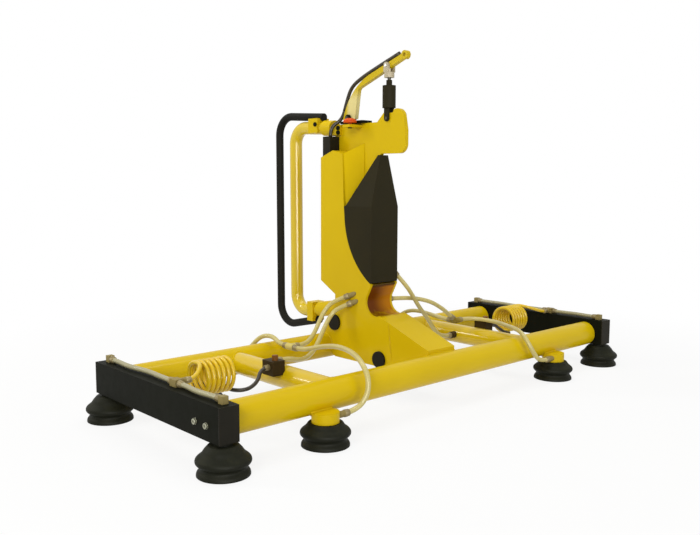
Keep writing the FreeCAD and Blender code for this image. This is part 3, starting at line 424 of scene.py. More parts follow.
def button_plastic():
    """Red plastic head on a dark stem."""
    made = Finish("button_red")
    where = made.place()
    cloud = made.noise(where, BUTTON_CLOUD, CLOUD_DETAIL)
    film = made.mix(made.ramp(cloud, *BUTTON_PATCHES), *BUTTON_REDS)
    film = made.mix(made.ramp(made.part_of(where, "Z"), *BUTTON_STEM_FADE), film, STEM_DARK)
    return made.surface(
        Base_Color=film, Roughness=BUTTON_ROUGH + made.ramp(cloud, *BUTTON_DULLS),
        Specular_IOR_Level=BUTTON_SHINE,
        Normal=made.bump(made.noise(where, FINE_SKIN), BUTTON_SKIN_STRENGTH, BUTTON_SKIN_DEPTH),
    )


# Paints are given as full film, thinned film and deep film
YELLOW_FILM = (rgb(213, 182, 6), rgb(226, 198, 26), rgb(208, 176, 5))
# Flank film: a lighter copy of the yellow, painted light that evens out the shade of the slanted flank
# sheets
FLANK_LIGHTENED_FILM = (rgb(225, 194, 6), rgb(234, 208, 26), rgb(220, 187, 5))
# Handle film: a slightly paler copy of the yellow, a painted sheen for the highlight down the D tube
HANDLE_SHEEN_FILM = (rgb(214, 186, 18), rgb(228, 202, 44), rgb(207, 177, 12))
ARM_FILM = (rgb(204, 178, 14), rgb(226, 208, 70), rgb(196, 168, 10))
BLACK_FILM = (rgb(20, 21, 12), rgb(32, 31, 20), rgb(16, 17, 10))
YELLOW = painted("yellow_enamel", YELLOW_FILM, rough=0.38, coat=0.14, shine=0.04)
TUBE_YELLOW = painted("tube_yellow_enamel", YELLOW_FILM, rough=0.36, coat=0.2, shine=0.05)
CROSS_YELLOW = painted("cross_tube_enamel", YELLOW_FILM, rough=0.34, coat=0.7, shine=0.1)
FLANK = painted("flank_yellow_enamel", FLANK_LIGHTENED_FILM, rough=0.45, coat=0.0, shine=0.02)
HANDLE = painted("handle_yellow_enamel", HANDLE_SHEEN_FILM, rough=0.34, coat=0.9, shine=0.06)
# Throat web paint, with painted shade in its notch
NOTCH = painted("notch_yellow_enamel", YELLOW_FILM, rough=0.4, coat=0.08, shine=0.04, tint=notch_painted_shade)
# Arm paint, with a painted highlight on its foot
ARM = painted("arm_yellow_enamel", ARM_FILM, rough=0.38, coat=0.2, shine=0.05, tint=foot_painted_highlight)
BLACK = painted("black_enamel", BLACK_FILM, rough=0.5, coat=0.0, shine=0.04)

COVER_TONES = (rgb(37, 33, 16), rgb(46, 41, 22))
FITTING_TONES = (rgb(28, 26, 19), rgb(46, 42, 30))
TAN_TONES = (rgb(138, 122, 72), rgb(158, 144, 98))
MANIFOLD_TONES = (rgb(52, 40, 19), rgb(78, 60, 28))
TEE_TONES = (rgb(138, 118, 46), rgb(158, 138, 64))
GRIP_TONES = (rgb(22, 21, 16), rgb(38, 36, 28))
COVER = moulded("black_cover_moulding", *COVER_TONES, grain=1400.0, rough=0.58)
FITTING = moulded("black_fitting_moulding", *FITTING_TONES, grain=1800.0, rough=0.5)
TAN_FITTING = moulded("tan_fitting_moulding", *TAN_TONES, grain=1800.0, rough=0.45)
MANIFOLD = moulded("manifold_moulding", *MANIFOLD_TONES, grain=1800.0, rough=0.5, tint=brown_knob)
TEE = moulded("tee_moulding", *TEE_TONES, grain=1800.0, rough=0.45, tint=pale_left)
GRIP = moulded("grip_sleeve_rubber", *GRIP_TONES, grain=1100.0, rough=0.55, depth=0.25 * MM)
CUP = rubber("cup_rubber_skin", rgb(26, 27, 18), rgb(48, 48, 33), rough=0.52)

STEEL = metal("plated_steel", tone(0.68, 0.66, 0.6), tone(0.56, 0.54, 0.48), rough=0.28)
COLLAR = metal("dull_collar", tone(0.3, 0.24, 0.11), tone(0.22, 0.17, 0.07), rough=0.42, metallic=0.3)
BOLT = metal("dull_bolt_steel", tone(0.34, 0.34, 0.25), tone(0.26, 0.26, 0.19), rough=0.35, metallic=0.7)
BLACKED = metal(
    "blackened_steel", tone(0.05, 0.045, 0.025), tone(0.035, 0.03, 0.018), rough=0.45, metallic=0.3,
)
SATIN = metal(
    "satin_rod_end", tone(0.45, 0.39, 0.26), tone(0.41, 0.35, 0.23), rough=0.48, metallic=0.1, arris=0.0,
)
ROD = metal(
    "drawn_rod_steel", tone(0.7, 0.7, 0.67), tone(0.6, 0.6, 0.57), rough=0.18, lines_run=LINES_ALONG_X,
)
BRONZE = metal(
    "bush_bronze", tone(0.6, 0.4, 0.17), tone(0.45, 0.29, 0.11), rough=0.3, lines_run=LINES_ALONG_X,
)

COIL_TAIL_AT = 1.74
PALE_TUBE = tubing("milky_hose", rgb(200, 187, 118), rgb(172, 156, 88), rough=0.3, coat=0.2, braid=0.45)
BAR_TUBE = tubing("grey_bar_hose", rgb(164, 158, 120), rgb(138, 132, 96), rough=0.3, coat=0.2, braid=0.45)
DARK_TUBE = tubing("dark_air_hose", rgb(40, 33, 18), rgb(76, 64, 34), rough=0.42, coat=0.08, braid=0.5)
COIL_TUBE = tubing(
    "yellow_coil_hose", rgb(222, 188, 16), rgb(206, 168, 12), rough=0.3, coat=0.2, braid=0.0,
    tail=COIL_TAIL_AT,
)
RED = button_plastic()
SLOT_FINISH = {
    "yellow_paint": YELLOW, "black_paint": BLACK, "black_plastic": FITTING, "grip_rubber": GRIP,
    "cup_rubber": CUP, "steel": STEEL, "bronze": BRONZE, "pale_hose": PALE_TUBE,
    "dark_hose": DARK_TUBE, "yellow_hose": COIL_TUBE, "red_plastic": RED,
}
NODE_FINISH = {
    "front_tube": TUBE_YELLOW, "rear_tube": TUBE_YELLOW, "left_cross_tube": CROSS_YELLOW,
    "right_cross_tube": CROSS_YELLOW, "d_tube": HANDLE, "column_flanks": FLANK, "throat_web": NOTCH,
    "throat_cover": COVER, "suspension_arm": ARM, "cylinder_barrel": COVER, "cylinder_rod": BLACKED,
    "pivot_pins": BLACKED, "rod_end": SATIN, "left_slide_rods": ROD, "right_slide_rods": ROD,
    "hose_manifolds": MANIFOLD, "hose_tee": TEE, "column_fittings": TAN_FITTING,
    "socket_elbows": TAN_FITTING, "left_bar_fittings": TAN_FITTING, "right_bar_fittings": TAN_FITTING,
}
for part in frame["record"]["subparts"]:
    finish = NODE_FINISH.get(part["node"], SLOT_FINISH[part["material_slot"]])
    for held in cad[part["node"]].material_slots:
        held.material = finish


# Making pieces
CRISP_OVER = math.radians(40.0)
ON_AXIS = 1e-6
HEX_FACE = TURN / 6.0
CUT_PASSES = 2
CUT_NEAR = 0.75
CUT_FAR = 0.25


def piece(name, mesh, body, material=None, stands_for=()):
    """Object with its body, slot and material, and the nodes that it stands for."""
    made = bpy.data.objects.new(name, mesh)
    scene.collection.objects.link(made)
    if material is not None:
        mesh.materials.append(material)
    if body is not None:
        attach(made, body)
    if stands_for:
        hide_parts(*stands_for)
    return made


def smooth(mesh):
    """Smooth faces, with the sharp arrises kept crisp."""
    work = bmesh.new()
    work.from_mesh(mesh)
    for face in work.faces:
        face.smooth = True
    for edge in work.edges:
        edge.smooth = edge.is_boundary or edge.calc_face_angle(0.0) < CRISP_OVER
    work.to_mesh(mesh)
    work.free()
    return mesh


def turned(name, profile, sides, hexed=()):
    """Closed turned solid about Z from (radius, height) rows in mm; rows in hexed follow a hexagon."""
    work = bmesh.new()
    rings = []
    for index, (radius, height) in enumerate(profile):
        if radius < ON_AXIS:
            rings.append([work.verts.new((0.0, 0.0, height * MM))])
            continue
        ring = []
        for step in range(sides):
            angle = TURN * step / sides
            reach = radius
            if index in hexed:
                reach = radius / math.cos((angle % HEX_FACE) - HEX_FACE / 2.0)
            x = reach * MM * math.cos(angle)
            y = reach * MM * math.sin(angle)
            ring.append(work.verts.new((x, y, height * MM)))
        rings.append(ring)
    for low, high in zip(rings, rings[1:]):
        for step in range(sides):
            after = (step + 1) % sides
            if len(low) == 1:
                work.faces.new((low[0], high[after], high[step]))
            elif len(high) == 1:
                work.faces.new((low[step], low[after], high[0]))
            else:
                work.faces.new((low[step], low[after], high[after], high[step]))
    bmesh.ops.recalc_face_normals(work, faces=work.faces)
    mesh = bpy.data.meshes.new(name)
    work.to_mesh(mesh)
    work.free()
    return smooth(mesh)


def corner_cut(profile):
    """Profile whose rows between the ends are rounded off."""
    for _ in range(CUT_PASSES):
        cut = [profile[0]]
        for first, second in zip(profile, profile[1:]):
            cut.append(tuple(CUT_NEAR * a + CUT_FAR * b for a, b in zip(first, second)))
            cut.append(tuple(CUT_FAR * a + CUT_NEAR * b for a, b in zip(first, second)))
        cut.append(profile[-1])
        profile = cut
    return profile


# Hoses
HOSE_RADIUS = 6.5 * MM
BAR_HOSE_RADIUS = 6.0 * MM
AIR_HOSE_RADIUS = 5.5 * MM
COIL_HOSE_RADIUS = 5.0 * MM
LINE_ORDER = 3
LINE_STEPS = 8
SAME_POINT = 1e-5
HOSE_SIDES = 16


def metres(route, flip=1.0):
    """Route in metres, mirrored to the other end of the frame where flip is -1."""
    return [Vector((flip * x, y, z)) * MM for x, y, z in route]


def centreline(name, route):
    """Points along the smooth line that has the route as its control points."""
    curve = bpy.data.curves.new(name + "_line", "CURVE")
    curve.dimensions = "3D"
    spline = curve.splines.new("NURBS")
    spline.points.add(len(route) - 1)
    for held, point in zip(spline.points, route):
        held.co = (*point, 1.0)
    spline.order_u = LINE_ORDER
    spline.use_endpoint_u = True
    spline.resolution_u = LINE_STEPS
    line = bpy.data.objects.new(name + "_line", curve)
    scene.collection.objects.link(line)
    bpy.context.view_layer.update()
    mesh = bpy.data.meshes.new_from_object(line.evaluated_get(bpy.context.evaluated_depsgraph_get()))
    points = [vertex.co.copy() for vertex in mesh.vertices]
    bpy.data.objects.remove(line)
    bpy.data.curves.remove(curve)
    bpy.data.meshes.remove(mesh)
    kept = [points[0]]
    for point in points[1:]:
        if (point - kept[-1]).length > SAME_POINT:
            kept.append(point)
    return kept


def tube(name, points, radius):
    """Closed tube round a line, with a map that runs in metres along it."""
    ways = [(after - before).normalized() for before, after in zip(points, points[1:])]
    tangents = [ways[0]] + [(a + b).normalized() for a, b in zip(ways, ways[1:])] + [ways[-1]]
    side = tangents[0].orthogonal().normalized()
    work = bmesh.new()
    chart = work.loops.layers.uv.new("along_tube")
    angles = [TURN * step / HOSE_SIDES for step in range(HOSE_SIDES)]
    rings = []
    for point, tangent in zip(points, tangents):
        side = (side - tangent * side.dot(tangent)).normalized()
        other = tangent.cross(side)
        spokes = [side * math.cos(angle) + other * math.sin(angle) for angle in angles]
        rings.append([work.verts.new(point + spoke * radius) for spoke in spokes])
    run = 0.0
    for index, (low, high) in enumerate(zip(rings, rings[1:])):
        gain = (points[index + 1] - points[index]).length
        for step in range(HOSE_SIDES):
            after = (step + 1) % HOSE_SIDES
            face = work.faces.new((low[step], low[after], high[after], high[step]))
            face.smooth = True
            corners = ((0.0, step), (0.0, step + 1), (gain, step + 1), (gain, step))
            for loop, (along, turn) in zip(face.loops, corners):
                loop[chart].uv = (run + along, turn / HOSE_SIDES)
        run += gain
    work.faces.new(list(reversed(rings[0])))
    work.faces.new(rings[-1])
    mesh = bpy.data.meshes.new(name)
    work.to_mesh(mesh)
    work.free()
    return mesh


def length_of(points):
    return sum((after - before).length for before, after in zip(points, points[1:]))


hose_ends = {"frame": [], "left_bar": [], "right_bar": []}


def hose(name, route, radius, body, material, node, crossing=None):
    """Hose as a cord on one body, or left on no body where it crosses a joint."""
    points = centreline(name, route)
    made = piece(name, tube(name, points, radius), None if crossing else body, material, (node,))
    if crossing:
        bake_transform(made)
    length_of(points)


LEFT_FRONT_ROUTE = (
    (-424.0, -275.0, 68.0), (-384.0, -275.0, 68.0), (-355.0, -284.0, 100.0), (-348.0, -279.0, 144.0),
    (-338.0, -244.0, 172.0), (-318.0, -196.0, 182.0), (-298.0, -140.0, 183.0), (-286.0, -85.0, 180.0),
    (-281.0, -18.0, 166.0), (-284.0, 42.0, 148.0), (-284.0, 85.0, 148.0),
)
LEFT_REAR_ROUTE = (
    (-284.0, 115.0, 148.0), (-284.0, 150.0, 148.0), (-274.0, 198.0, 164.0), (-282.0, 245.0, 157.0),
    (-297.0, 278.0, 118.0), (-330.0, 285.0, 82.0), (-382.0, 275.0, 68.0), (-424.0, 275.0, 68.0),
)
LEFT_FEED_ROUTE = (
    (-61.0, 102.1, 270.2), (-84.0, 140.0, 254.0), (-101.0, 160.0, 230.0), (-123.0, 162.0, 198.0),
    (-152.0, 148.0, 172.0), (-192.0, 124.0, 153.0), (-234.0, 100.0, 148.0), (-271.0, 100.0, 148.0),
)
LEFT_MANIFOLD_ROUTE = (
    (-61.0, 89.8, 249.8), (-86.0, 124.0, 234.0), (-103.0, 138.0, 210.0), (-128.0, 134.0, 182.0),
    (-167.0, 111.0, 156.0), (-213.0, 80.0, 134.0), (-270.0, 45.0, 124.0), (-326.0, 12.0, 131.0),
    (-376.0, -8.0, 147.0), (-415.0, -8.0, 147.0),
)
RIGHT_FEED_ROUTE = (
    (61.0, 59.0, 254.0), (110.0, 36.0, 255.0), (156.0, 18.0, 249.0), (200.0, 8.0, 236.0),
    (232.0, 3.0, 219.0), (262.6, 0.0, 199.8), (296.2, 0.0, 174.6),
)
RIGHT_LOWER_ROUTE = (
    (61.0, 34.1, 337.9), (92.0, 13.0, 297.0), (120.0, 9.0, 259.0), (152.0, 16.0, 226.0),
    (190.0, 28.0, 198.0), (230.0, 40.0, 166.0), (266.0, 48.0, 130.0), (304.0, 50.0, 105.0),
    (346.0, 50.0, 105.0),
)
RIGHT_FRONT_ROUTE = (
    (325.0, 0.0, 165.0), (362.0, 0.0, 165.0), (392.0, -22.0, 164.0), (404.0, -66.0, 162.0),
    (396.0, -112.0, 161.0), (374.0, -152.0, 162.0), (348.0, -192.0, 164.0), (330.0, -234.0, 162.0),
    (318.0, -268.0, 140.0), (334.0, -285.0, 97.0), (380.0, -275.0, 68.0), (424.0, -275.0, 68.0),
)
RIGHT_REAR_ROUTE = (
    (309.0, 16.0, 165.0), (309.0, 52.0, 165.0), (322.0, 92.0, 166.0), (334.0, 136.0, 168.0),
    (338.0, 178.0, 170.0), (336.0, 216.0, 169.0), (328.0, 250.0, 157.0), (317.0, 277.0, 126.0),
    (334.0, 288.0, 88.0), (380.0, 275.0, 68.0), (424.0, 275.0, 68.0),
)
BAR_FRONT_ROUTE = (
    (-745.0, -79.0, 158.0), (-745.0, -112.0, 158.0), (-752.0, -165.0, 158.0), (-746.0, -218.0, 158.0),
    (-746.0, -248.0, 158.0),
)
BAR_REAR_ROUTE = (
    (-745.0, -53.0, 158.0), (-745.0, -5.0, 158.0), (-740.0, 70.0, 158.0), (-751.0, 145.0, 158.0),
    (-746.0, 205.0, 158.0), (-746.0, 248.0, 158.0),
)
ARM_HOSE_ROUTE = (
    (-3.0, -41.1, 965.0), (-3.0, 60.0, 930.5), (-3.0, 118.0, 908.5), (-3.0, 155.0, 888.0),
    (-3.0, 173.5, 856.0), (-3.0, 186.9, 820.0),
)
INLET_HOSE_ROUTE = (
    (-3.0, 186.9, 820.0), (-3.0, 196.6, 793.7), (-31.0, 220.0, 772.0), (-31.0, 220.0, 743.0),
)
FRAME_HOSES = (
    ("left_front_cup_hose", LEFT_FRONT_ROUTE, "left_cup_hoses"),
    ("left_rear_cup_hose", LEFT_REAR_ROUTE, "left_cup_hoses"),
    ("right_front_cup_hose", RIGHT_FRONT_ROUTE, "right_cup_hoses"),
    ("right_rear_cup_hose", RIGHT_REAR_ROUTE, "right_cup_hoses"),
    ("left_tee_feed_hose", LEFT_FEED_ROUTE, "left_feed_hoses"),
    ("left_manifold_feed_hose", LEFT_MANIFOLD_ROUTE, "left_feed_hoses"),
    ("right_upper_feed_hose", RIGHT_FEED_ROUTE, "right_feed_hoses"),
    ("right_lower_feed_hose", RIGHT_LOWER_ROUTE, "right_feed_hoses"),
)


def note_ends(body, route, radius):
    """Keeps where a hose meets its fittings, and which way it points there."""
    hose_ends[body].append((route[0], (route[0] - route[1]).normalized(), radius))
    hose_ends[body].append((route[-1], (route[-1] - route[-2]).normalized(), radius))


for name, route, node in FRAME_HOSES:
    hose(name, metres(route), HOSE_RADIUS, "frame", PALE_TUBE, node)
    note_ends("frame", metres(route), HOSE_RADIUS)
for side, flip in (("left", 1.0), ("right", -1.0)):
    for place, route in (("front", BAR_FRONT_ROUTE), ("rear", BAR_REAR_ROUTE)):
        hose(
            f"{side}_bar_{place}_hose", metres(route, flip), BAR_HOSE_RADIUS, f"{side}_bar",
            BAR_TUBE, f"{side}_bar_hoses",
        )
        note_ends(f"{side}_bar", metres(route, flip), BAR_HOSE_RADIUS)
hose(
    "arm_air_hose", metres(ARM_HOSE_ROUTE), AIR_HOSE_RADIUS, "arm", DARK_TUBE, "arm_hose",
)
inlet = metres(INLET_HOSE_ROUTE)
hose(
    "inlet_air_hose", inlet, AIR_HOSE_RADIUS, None, DARK_TUBE, "inlet_hose",
    crossing=("arm", "frame", inlet[0], inlet[-1]),
)

# Coil hoses: each runs between the frame and its sliding end bar
COIL_START_X = -652.0
COIL_PITCH = 14.0
COIL_RADIUS = 40.0
COIL_AXIS_Z = 138.0
COIL_TURNS = 6.5
COIL_POINTS = 16
COIL_REACH = COIL_RADIUS / math.cos(math.pi / COIL_POINTS) ** 0.5
COIL_LEAD_IN = (
    (-722.0, -66.0, 159.0), (-701.0, -66.0, 159.0), (-672.0, -46.0, 170.0), (-653.0, -20.0, 178.0),
)
COIL_LEAD_OUT = (
    (-560.0, -22.0, 98.0), (-548.0, -40.0, 99.0), (-526.0, -45.0, 102.0), (-500.0, -41.0, 115.0),
    (-479.0, -23.0, 138.0), (-452.0, -22.0, 138.0),
)
coil_route = list(COIL_LEAD_IN)
for step in range(int(COIL_TURNS * COIL_POINTS) + 1):
    angle = TURN * step / COIL_POINTS
    x = COIL_START_X + COIL_PITCH * step / COIL_POINTS
    coil_route.append((x, COIL_REACH * math.sin(angle), COIL_AXIS_Z + COIL_REACH * math.cos(angle)))
coil_route.extend(COIL_LEAD_OUT)
for side, flip in (("left", 1.0), ("right", -1.0)):
    route = metres(coil_route, flip)
    hose(
        f"{side}_coil", route, COIL_HOSE_RADIUS, None, COIL_TUBE, f"{side}_coil_hose",
        crossing=("frame", f"{side}_bar", route[-1], route[0]),
    )
    hose_ends[f"{side}_bar"].append((route[0], Vector((-flip, 0.0, 0.0)), COIL_HOSE_RADIUS))
    hose_ends["frame"].append((route[-1], Vector((flip, 0.0, 0.0)), COIL_HOSE_RADIUS))


# Geometry recipes: what repeats
class Recipe(Graph):
    """A geometry graph with named inputs, closed by realised instances and a material."""

    def __init__(self, name, inputs):
        super().__init__(bpy.data.node_groups.new(name, "GeometryNodeTree"))
        face = self.tree.interface
        face.new_socket(name="Places", in_out="INPUT", socket_type="NodeSocketGeometry")
        for title, kind in inputs:
            face.new_socket(name=title, in_out="INPUT", socket_type="NodeSocket" + kind)
        face.new_socket(name="Made", in_out="OUTPUT", socket_type="NodeSocketGeometry")
        self.start = self.tree.nodes.new("NodeGroupInput")

    def given(self, title):
        return Flow(self.tree, self.start.outputs[title])

    def close(self, instances):
        real = self.node("GeometryNodeRealizeInstances", None, {"Geometry": instances})
        sockets = {"Geometry": real, "Material": self.given("Material")}
        dressed = self.node("GeometryNodeSetMaterial", None, sockets)
        end = self.tree.nodes.new("NodeGroupOutput")
        self.tree.links.new(dressed.socket, end.inputs[0])
        return self

    def made(self, name, places, **values):
        """Plain mesh that the recipe gives on these places."""
        carrier = bpy.data.objects.new(name + "_places", places)
        scene.collection.objects.link(carrier)
        step = carrier.modifiers.new("recipe", "NODES")
        step.node_group = self.tree
        for item in self.tree.interface.items_tree:
            key = item.name.replace(" ", "_").lower()
            if item.in_out == "INPUT" and key in values:
                step[item.identifier] = values[key]
        bpy.context.view_layer.update()
        shown = carrier.evaluated_get(bpy.context.evaluated_depsgraph_get())
        mesh = bpy.data.meshes.new_from_object(shown)
        mesh.name = name
        carrier.modifiers.remove(step)
        bpy.data.objects.remove(carrier)
        return mesh


def set_on_places():
    """One shape on every point, its Z along the point's own direction."""
    made = Recipe("set_on_places", (("Shape", "Object"), ("Size", "Float"), ("Material", "Material")))
    way = made.node("GeometryNodeInputNamedAttribute", {"data_type": "FLOAT_VECTOR"}, {"Name": "way"})
    turn = made.node("FunctionNodeAlignRotationToVector", {"axis": "Z"}, {"Vector": way})
    shape = made.node("GeometryNodeObjectInfo", None, {"Object": made.given("Shape")}, out="Geometry")
    sockets = {
        "Points": made.given("Places"), "Instance": shape, "Rotation": turn, "Scale": made.given("Size"),
    }
    return made.close(made.node("GeometryNodeInstanceOnPoints", None, sockets))


BEAD_SEGMENTS = 8
BEAD_RINGS = 5


def weld_along_path():
    """Rippled weld bead: low overlapping beads at an even spacing along a path."""
    inputs = (("Bead Radius", "Float"), ("Spacing", "Float"), ("Material", "Material"))
    made = Recipe("weld_along_path", inputs)
    path = made.node("GeometryNodeMeshToCurve", None, {"Mesh": made.given("Places")})
    sockets = {"Curve": path, "Length": made.given("Spacing")}
    even = made.node("GeometryNodeResampleCurve", {"mode": "LENGTH"}, sockets)
    sockets = {"Segments": BEAD_SEGMENTS, "Rings": BEAD_RINGS, "Radius": made.given("Bead Radius")}
    bead = made.node("GeometryNodeMeshUVSphere", None, sockets)
    round_bead = made.node("GeometryNodeSetShadeSmooth", None, {"Geometry": bead})
    sockets = {"Points": even, "Instance": round_bead}
    return made.close(made.node("GeometryNodeInstanceOnPoints", None, sockets))


def cleats_round_axis():
    """Radial cleats round the underside of a cup."""
    inputs = (("Count", "Int"), ("Ring Radius", "Float"), ("Shape", "Object"), ("Material", "Material"))
    made = Recipe("cleats_round_axis", inputs)
    sockets = {"Vertices": made.given("Count"), "Radius": made.given("Ring Radius")}
    ring = made.node("GeometryNodeMeshCircle", None, sockets)
    outwards = {"Vector": made.node("GeometryNodeInputPosition")}
    turn = made.node("FunctionNodeAlignRotationToVector", {"axis": "X", "pivot_axis": "Z"}, outwards)
    shape = made.node("GeometryNodeObjectInfo", None, {"Object": made.given("Shape")}, out="Geometry")
    sockets = {"Points": ring, "Instance": shape, "Rotation": turn}
    return made.close(made.node("GeometryNodeInstanceOnPoints", None, sockets))


SET_ON_PLACES = set_on_places()
WELD = weld_along_path()
CLEATS = cleats_round_axis()


def pattern(name, mesh):
    """Object that a recipe copies; it is removed once the copies are made."""
    held = bpy.data.objects.new(name, mesh)
    scene.collection.objects.link(held)
    return held


def places(name, rows):
    """Loose points with a direction each."""
    mesh = bpy.data.meshes.new(name)
    mesh.from_pydata([point for point, _ in rows], [], [])
    way = mesh.attributes.new("way", "FLOAT_VECTOR", "POINT")
    for held, (_, direction) in zip(way.data, rows):
        held.vector = direction
    return mesh


def copies(name, mesh, rows, material):
    """One mesh set on every row: its point, and the direction that Z takes there."""
    shape = pattern(name + "_shape", mesh)
    points = places(name + "_points", rows)
    made = SET_ON_PLACES.made(name, points, shape=shape, size=1.0, material=material)
    bpy.data.objects.remove(shape)
    return made


# Hose collars: a grooved push-in sleeve where each hose meets its fitting
COLLAR_WALL = 2.6
COLLAR_SIDES = 24


def collar(radius):
    bore = radius / MM
    wall = bore + COLLAR_WALL
    rows = [
        (bore - 0.5, -15.0), (bore + 1.0, -15.0), (wall - 0.6, -14.0), (wall - 0.6, -10.5),
        (wall - 1.3, -10.0), (wall - 1.3, -9.0), (wall, -8.5), (wall, -1.0), (wall - 0.8, 0.0),
        (bore - 0.5, 0.0),
    ]
    return turned("collar", rows + rows[:1], COLLAR_SIDES)


for body, ends in hose_ends.items():
    for radius in sorted({radius for _, _, radius in ends}):
        rows = [(point, way) for point, way, held_radius in ends if held_radius == radius]
        mesh = copies("collars", collar(radius), rows, COLLAR)
        width = round(2.0 * radius / MM)
        piece(f"{body}_hose_collars_{width}mm", mesh, body)

# Bolts through the end bars: socket heads with a washer face
BOLT_HEAD = [
    (0.0, -3.2), (2.6, -3.2), (2.6, -0.3), (3.3, 0.0), (5.8, 0.0), (6.5, -0.7), (6.5, -4.2), (6.1, -4.6),
    (7.2, -4.6), (7.2, -5.0), (0.0, -5.0),
]
BOLT_SOCKET_ROWS = (1, 2)
BOLT_SIDES = 48
BOLT_SEATS = ((-189.0, 103.0), (-233.0, 103.0))
BAR_OUTER_X = 774.0
BOLT_HEAD_HEIGHT = 5.0
for side, flip in (("left", -1.0), ("right", 1.0)):
    face = flip * (BAR_OUTER_X + BOLT_HEAD_HEIGHT)
    rows = [(Vector((face, y, z)) * MM, Vector((flip, 0.0, 0.0))) for y, z in BOLT_SEATS]
    head = turned("bolt_head", BOLT_HEAD, BOLT_SIDES, BOLT_SOCKET_ROWS)
    mesh = copies("bar_bolts", head, rows, BOLT)
    piece(f"{side}_bar_bolt_heads", mesh, f"{side}_bar", None, (f"{side}_bar_bolts",))

# Weld beads of the tube frame
FRAME_BEAD = 3.2 * MM
JOINT_BEAD = 1.6 * MM
BEAD_SPACING = 0.75
SADDLE_STEPS = 72
SOCKET_STEPS = 40
PLATE_STEPS = 24
STRAIGHT_STEPS = 2
TUBE_RADIUS = 38.05
TUBE_Y = 219.5
TUBE_Z = 103.0
CROSS_X = 395.0
CROSS_RADIUS = 30.15
SOCKET_X = 470.0
SOCKET_Y = 262.0
SOCKET_RADIUS = 33.0
SOCKET_HIGH = 80.0
COLUMN_HALF = 55.0


def saddle(x_side, y_side):
    """Where a cross tube meets a main tube."""
    rows = []
    for step in range(SADDLE_STEPS + 1):
        angle = TURN * step / SADDLE_STEPS
        rise = CROSS_RADIUS * math.sin(angle)
        reach = TUBE_Y - math.sqrt(TUBE_RADIUS ** 2 - rise ** 2)
        rows.append((x_side * CROSS_X + CROSS_RADIUS * math.cos(angle), y_side * reach, TUBE_Z + rise))
    return rows


def socket_seam(x_side, y_side):
    """Where a cup socket meets the outside and underside of a main tube."""
    top_reach = math.sqrt(TUBE_RADIUS ** 2 - (TUBE_Z - SOCKET_HIGH) ** 2)
    half = math.sqrt(SOCKET_RADIUS ** 2 - (SOCKET_Y - TUBE_Y - top_reach) ** 2)
    rows = []
    for step in range(SOCKET_STEPS + 1):
        share = 2.0 * step / SOCKET_STEPS - 1.0
        turn = math.asin(half / SOCKET_RADIUS) * share
        y = SOCKET_Y - SOCKET_RADIUS * math.cos(turn)
        drop = math.sqrt(max(TUBE_RADIUS ** 2 - (y - TUBE_Y) ** 2, 0.0))
        x = SOCKET_RADIUS * math.sin(turn)
        rows.append((x_side * (SOCKET_X + x), y_side * y, TUBE_Z - drop))
    rows.append((x_side * (SOCKET_X + half), y_side * (TUBE_Y + top_reach), SOCKET_HIGH))
    rows.append((x_side * (SOCKET_X - half), y_side * (TUBE_Y + top_reach), SOCKET_HIGH))
    return rows


def plate_seam(x_side, y_side, low, high):
    """Where a side plate of the column stands on a main tube."""
    rows = []
    for step in range(PLATE_STEPS + 1):
        angle = math.radians(low + (high - low) * step / PLATE_STEPS)
        reach = TUBE_Y - TUBE_RADIUS * math.cos(angle)
        rows.append((x_side * COLUMN_HALF, y_side * reach, TUBE_Z + TUBE_RADIUS * math.sin(angle)))
    return rows


def straight(start, end):
    """Seam along a straight line."""
    first = Vector(start)
    last = Vector(end)
    return [first.lerp(last, step / STRAIGHT_STEPS) for step in range(STRAIGHT_STEPS + 1)]


PLATE_SEAM_FRONT = (-24.0, 72.0)
PLATE_SEAM_REAR = (-24.0, 92.0)
FOOT_TOE = (-208.6, 139.4)
FOOT_JOINT = ((-57.0, 206.0), (-70.0, 105.0))
WEB_HALF = 47.0
seams = [straight((-WEB_HALF, *FOOT_TOE), (WEB_HALF, *FOOT_TOE))]
joints = []
for x_side in (-1.0, 1.0):
    for y_side in (-1.0, 1.0):
        seams.append(saddle(x_side, y_side))
        seams.append(socket_seam(x_side, y_side))
    seams.append(plate_seam(x_side, -1.0, *PLATE_SEAM_FRONT))
    seams.append(plate_seam(x_side, 1.0, *PLATE_SEAM_REAR))
    joints.append(straight(*((x_side * COLUMN_HALF, y, z) for y, z in FOOT_JOINT)))
for name, lines, bead in (("frame_welds", seams, FRAME_BEAD), ("foot_joint_welds", joints, JOINT_BEAD)):
    path = bpy.data.meshes.new(name + "_paths")
    corners = []
    links = []
    for rows in lines:
        links.extend((len(corners) + step, len(corners) + step + 1) for step in range(len(rows) - 1))
        corners.extend(Vector(row) * MM for row in rows)
    path.from_pydata(corners, links, [])
    beads = WELD.made(name, path, bead_radius=bead, spacing=BEAD_SPACING * bead, material=YELLOW)
    piece(name, beads, "frame")

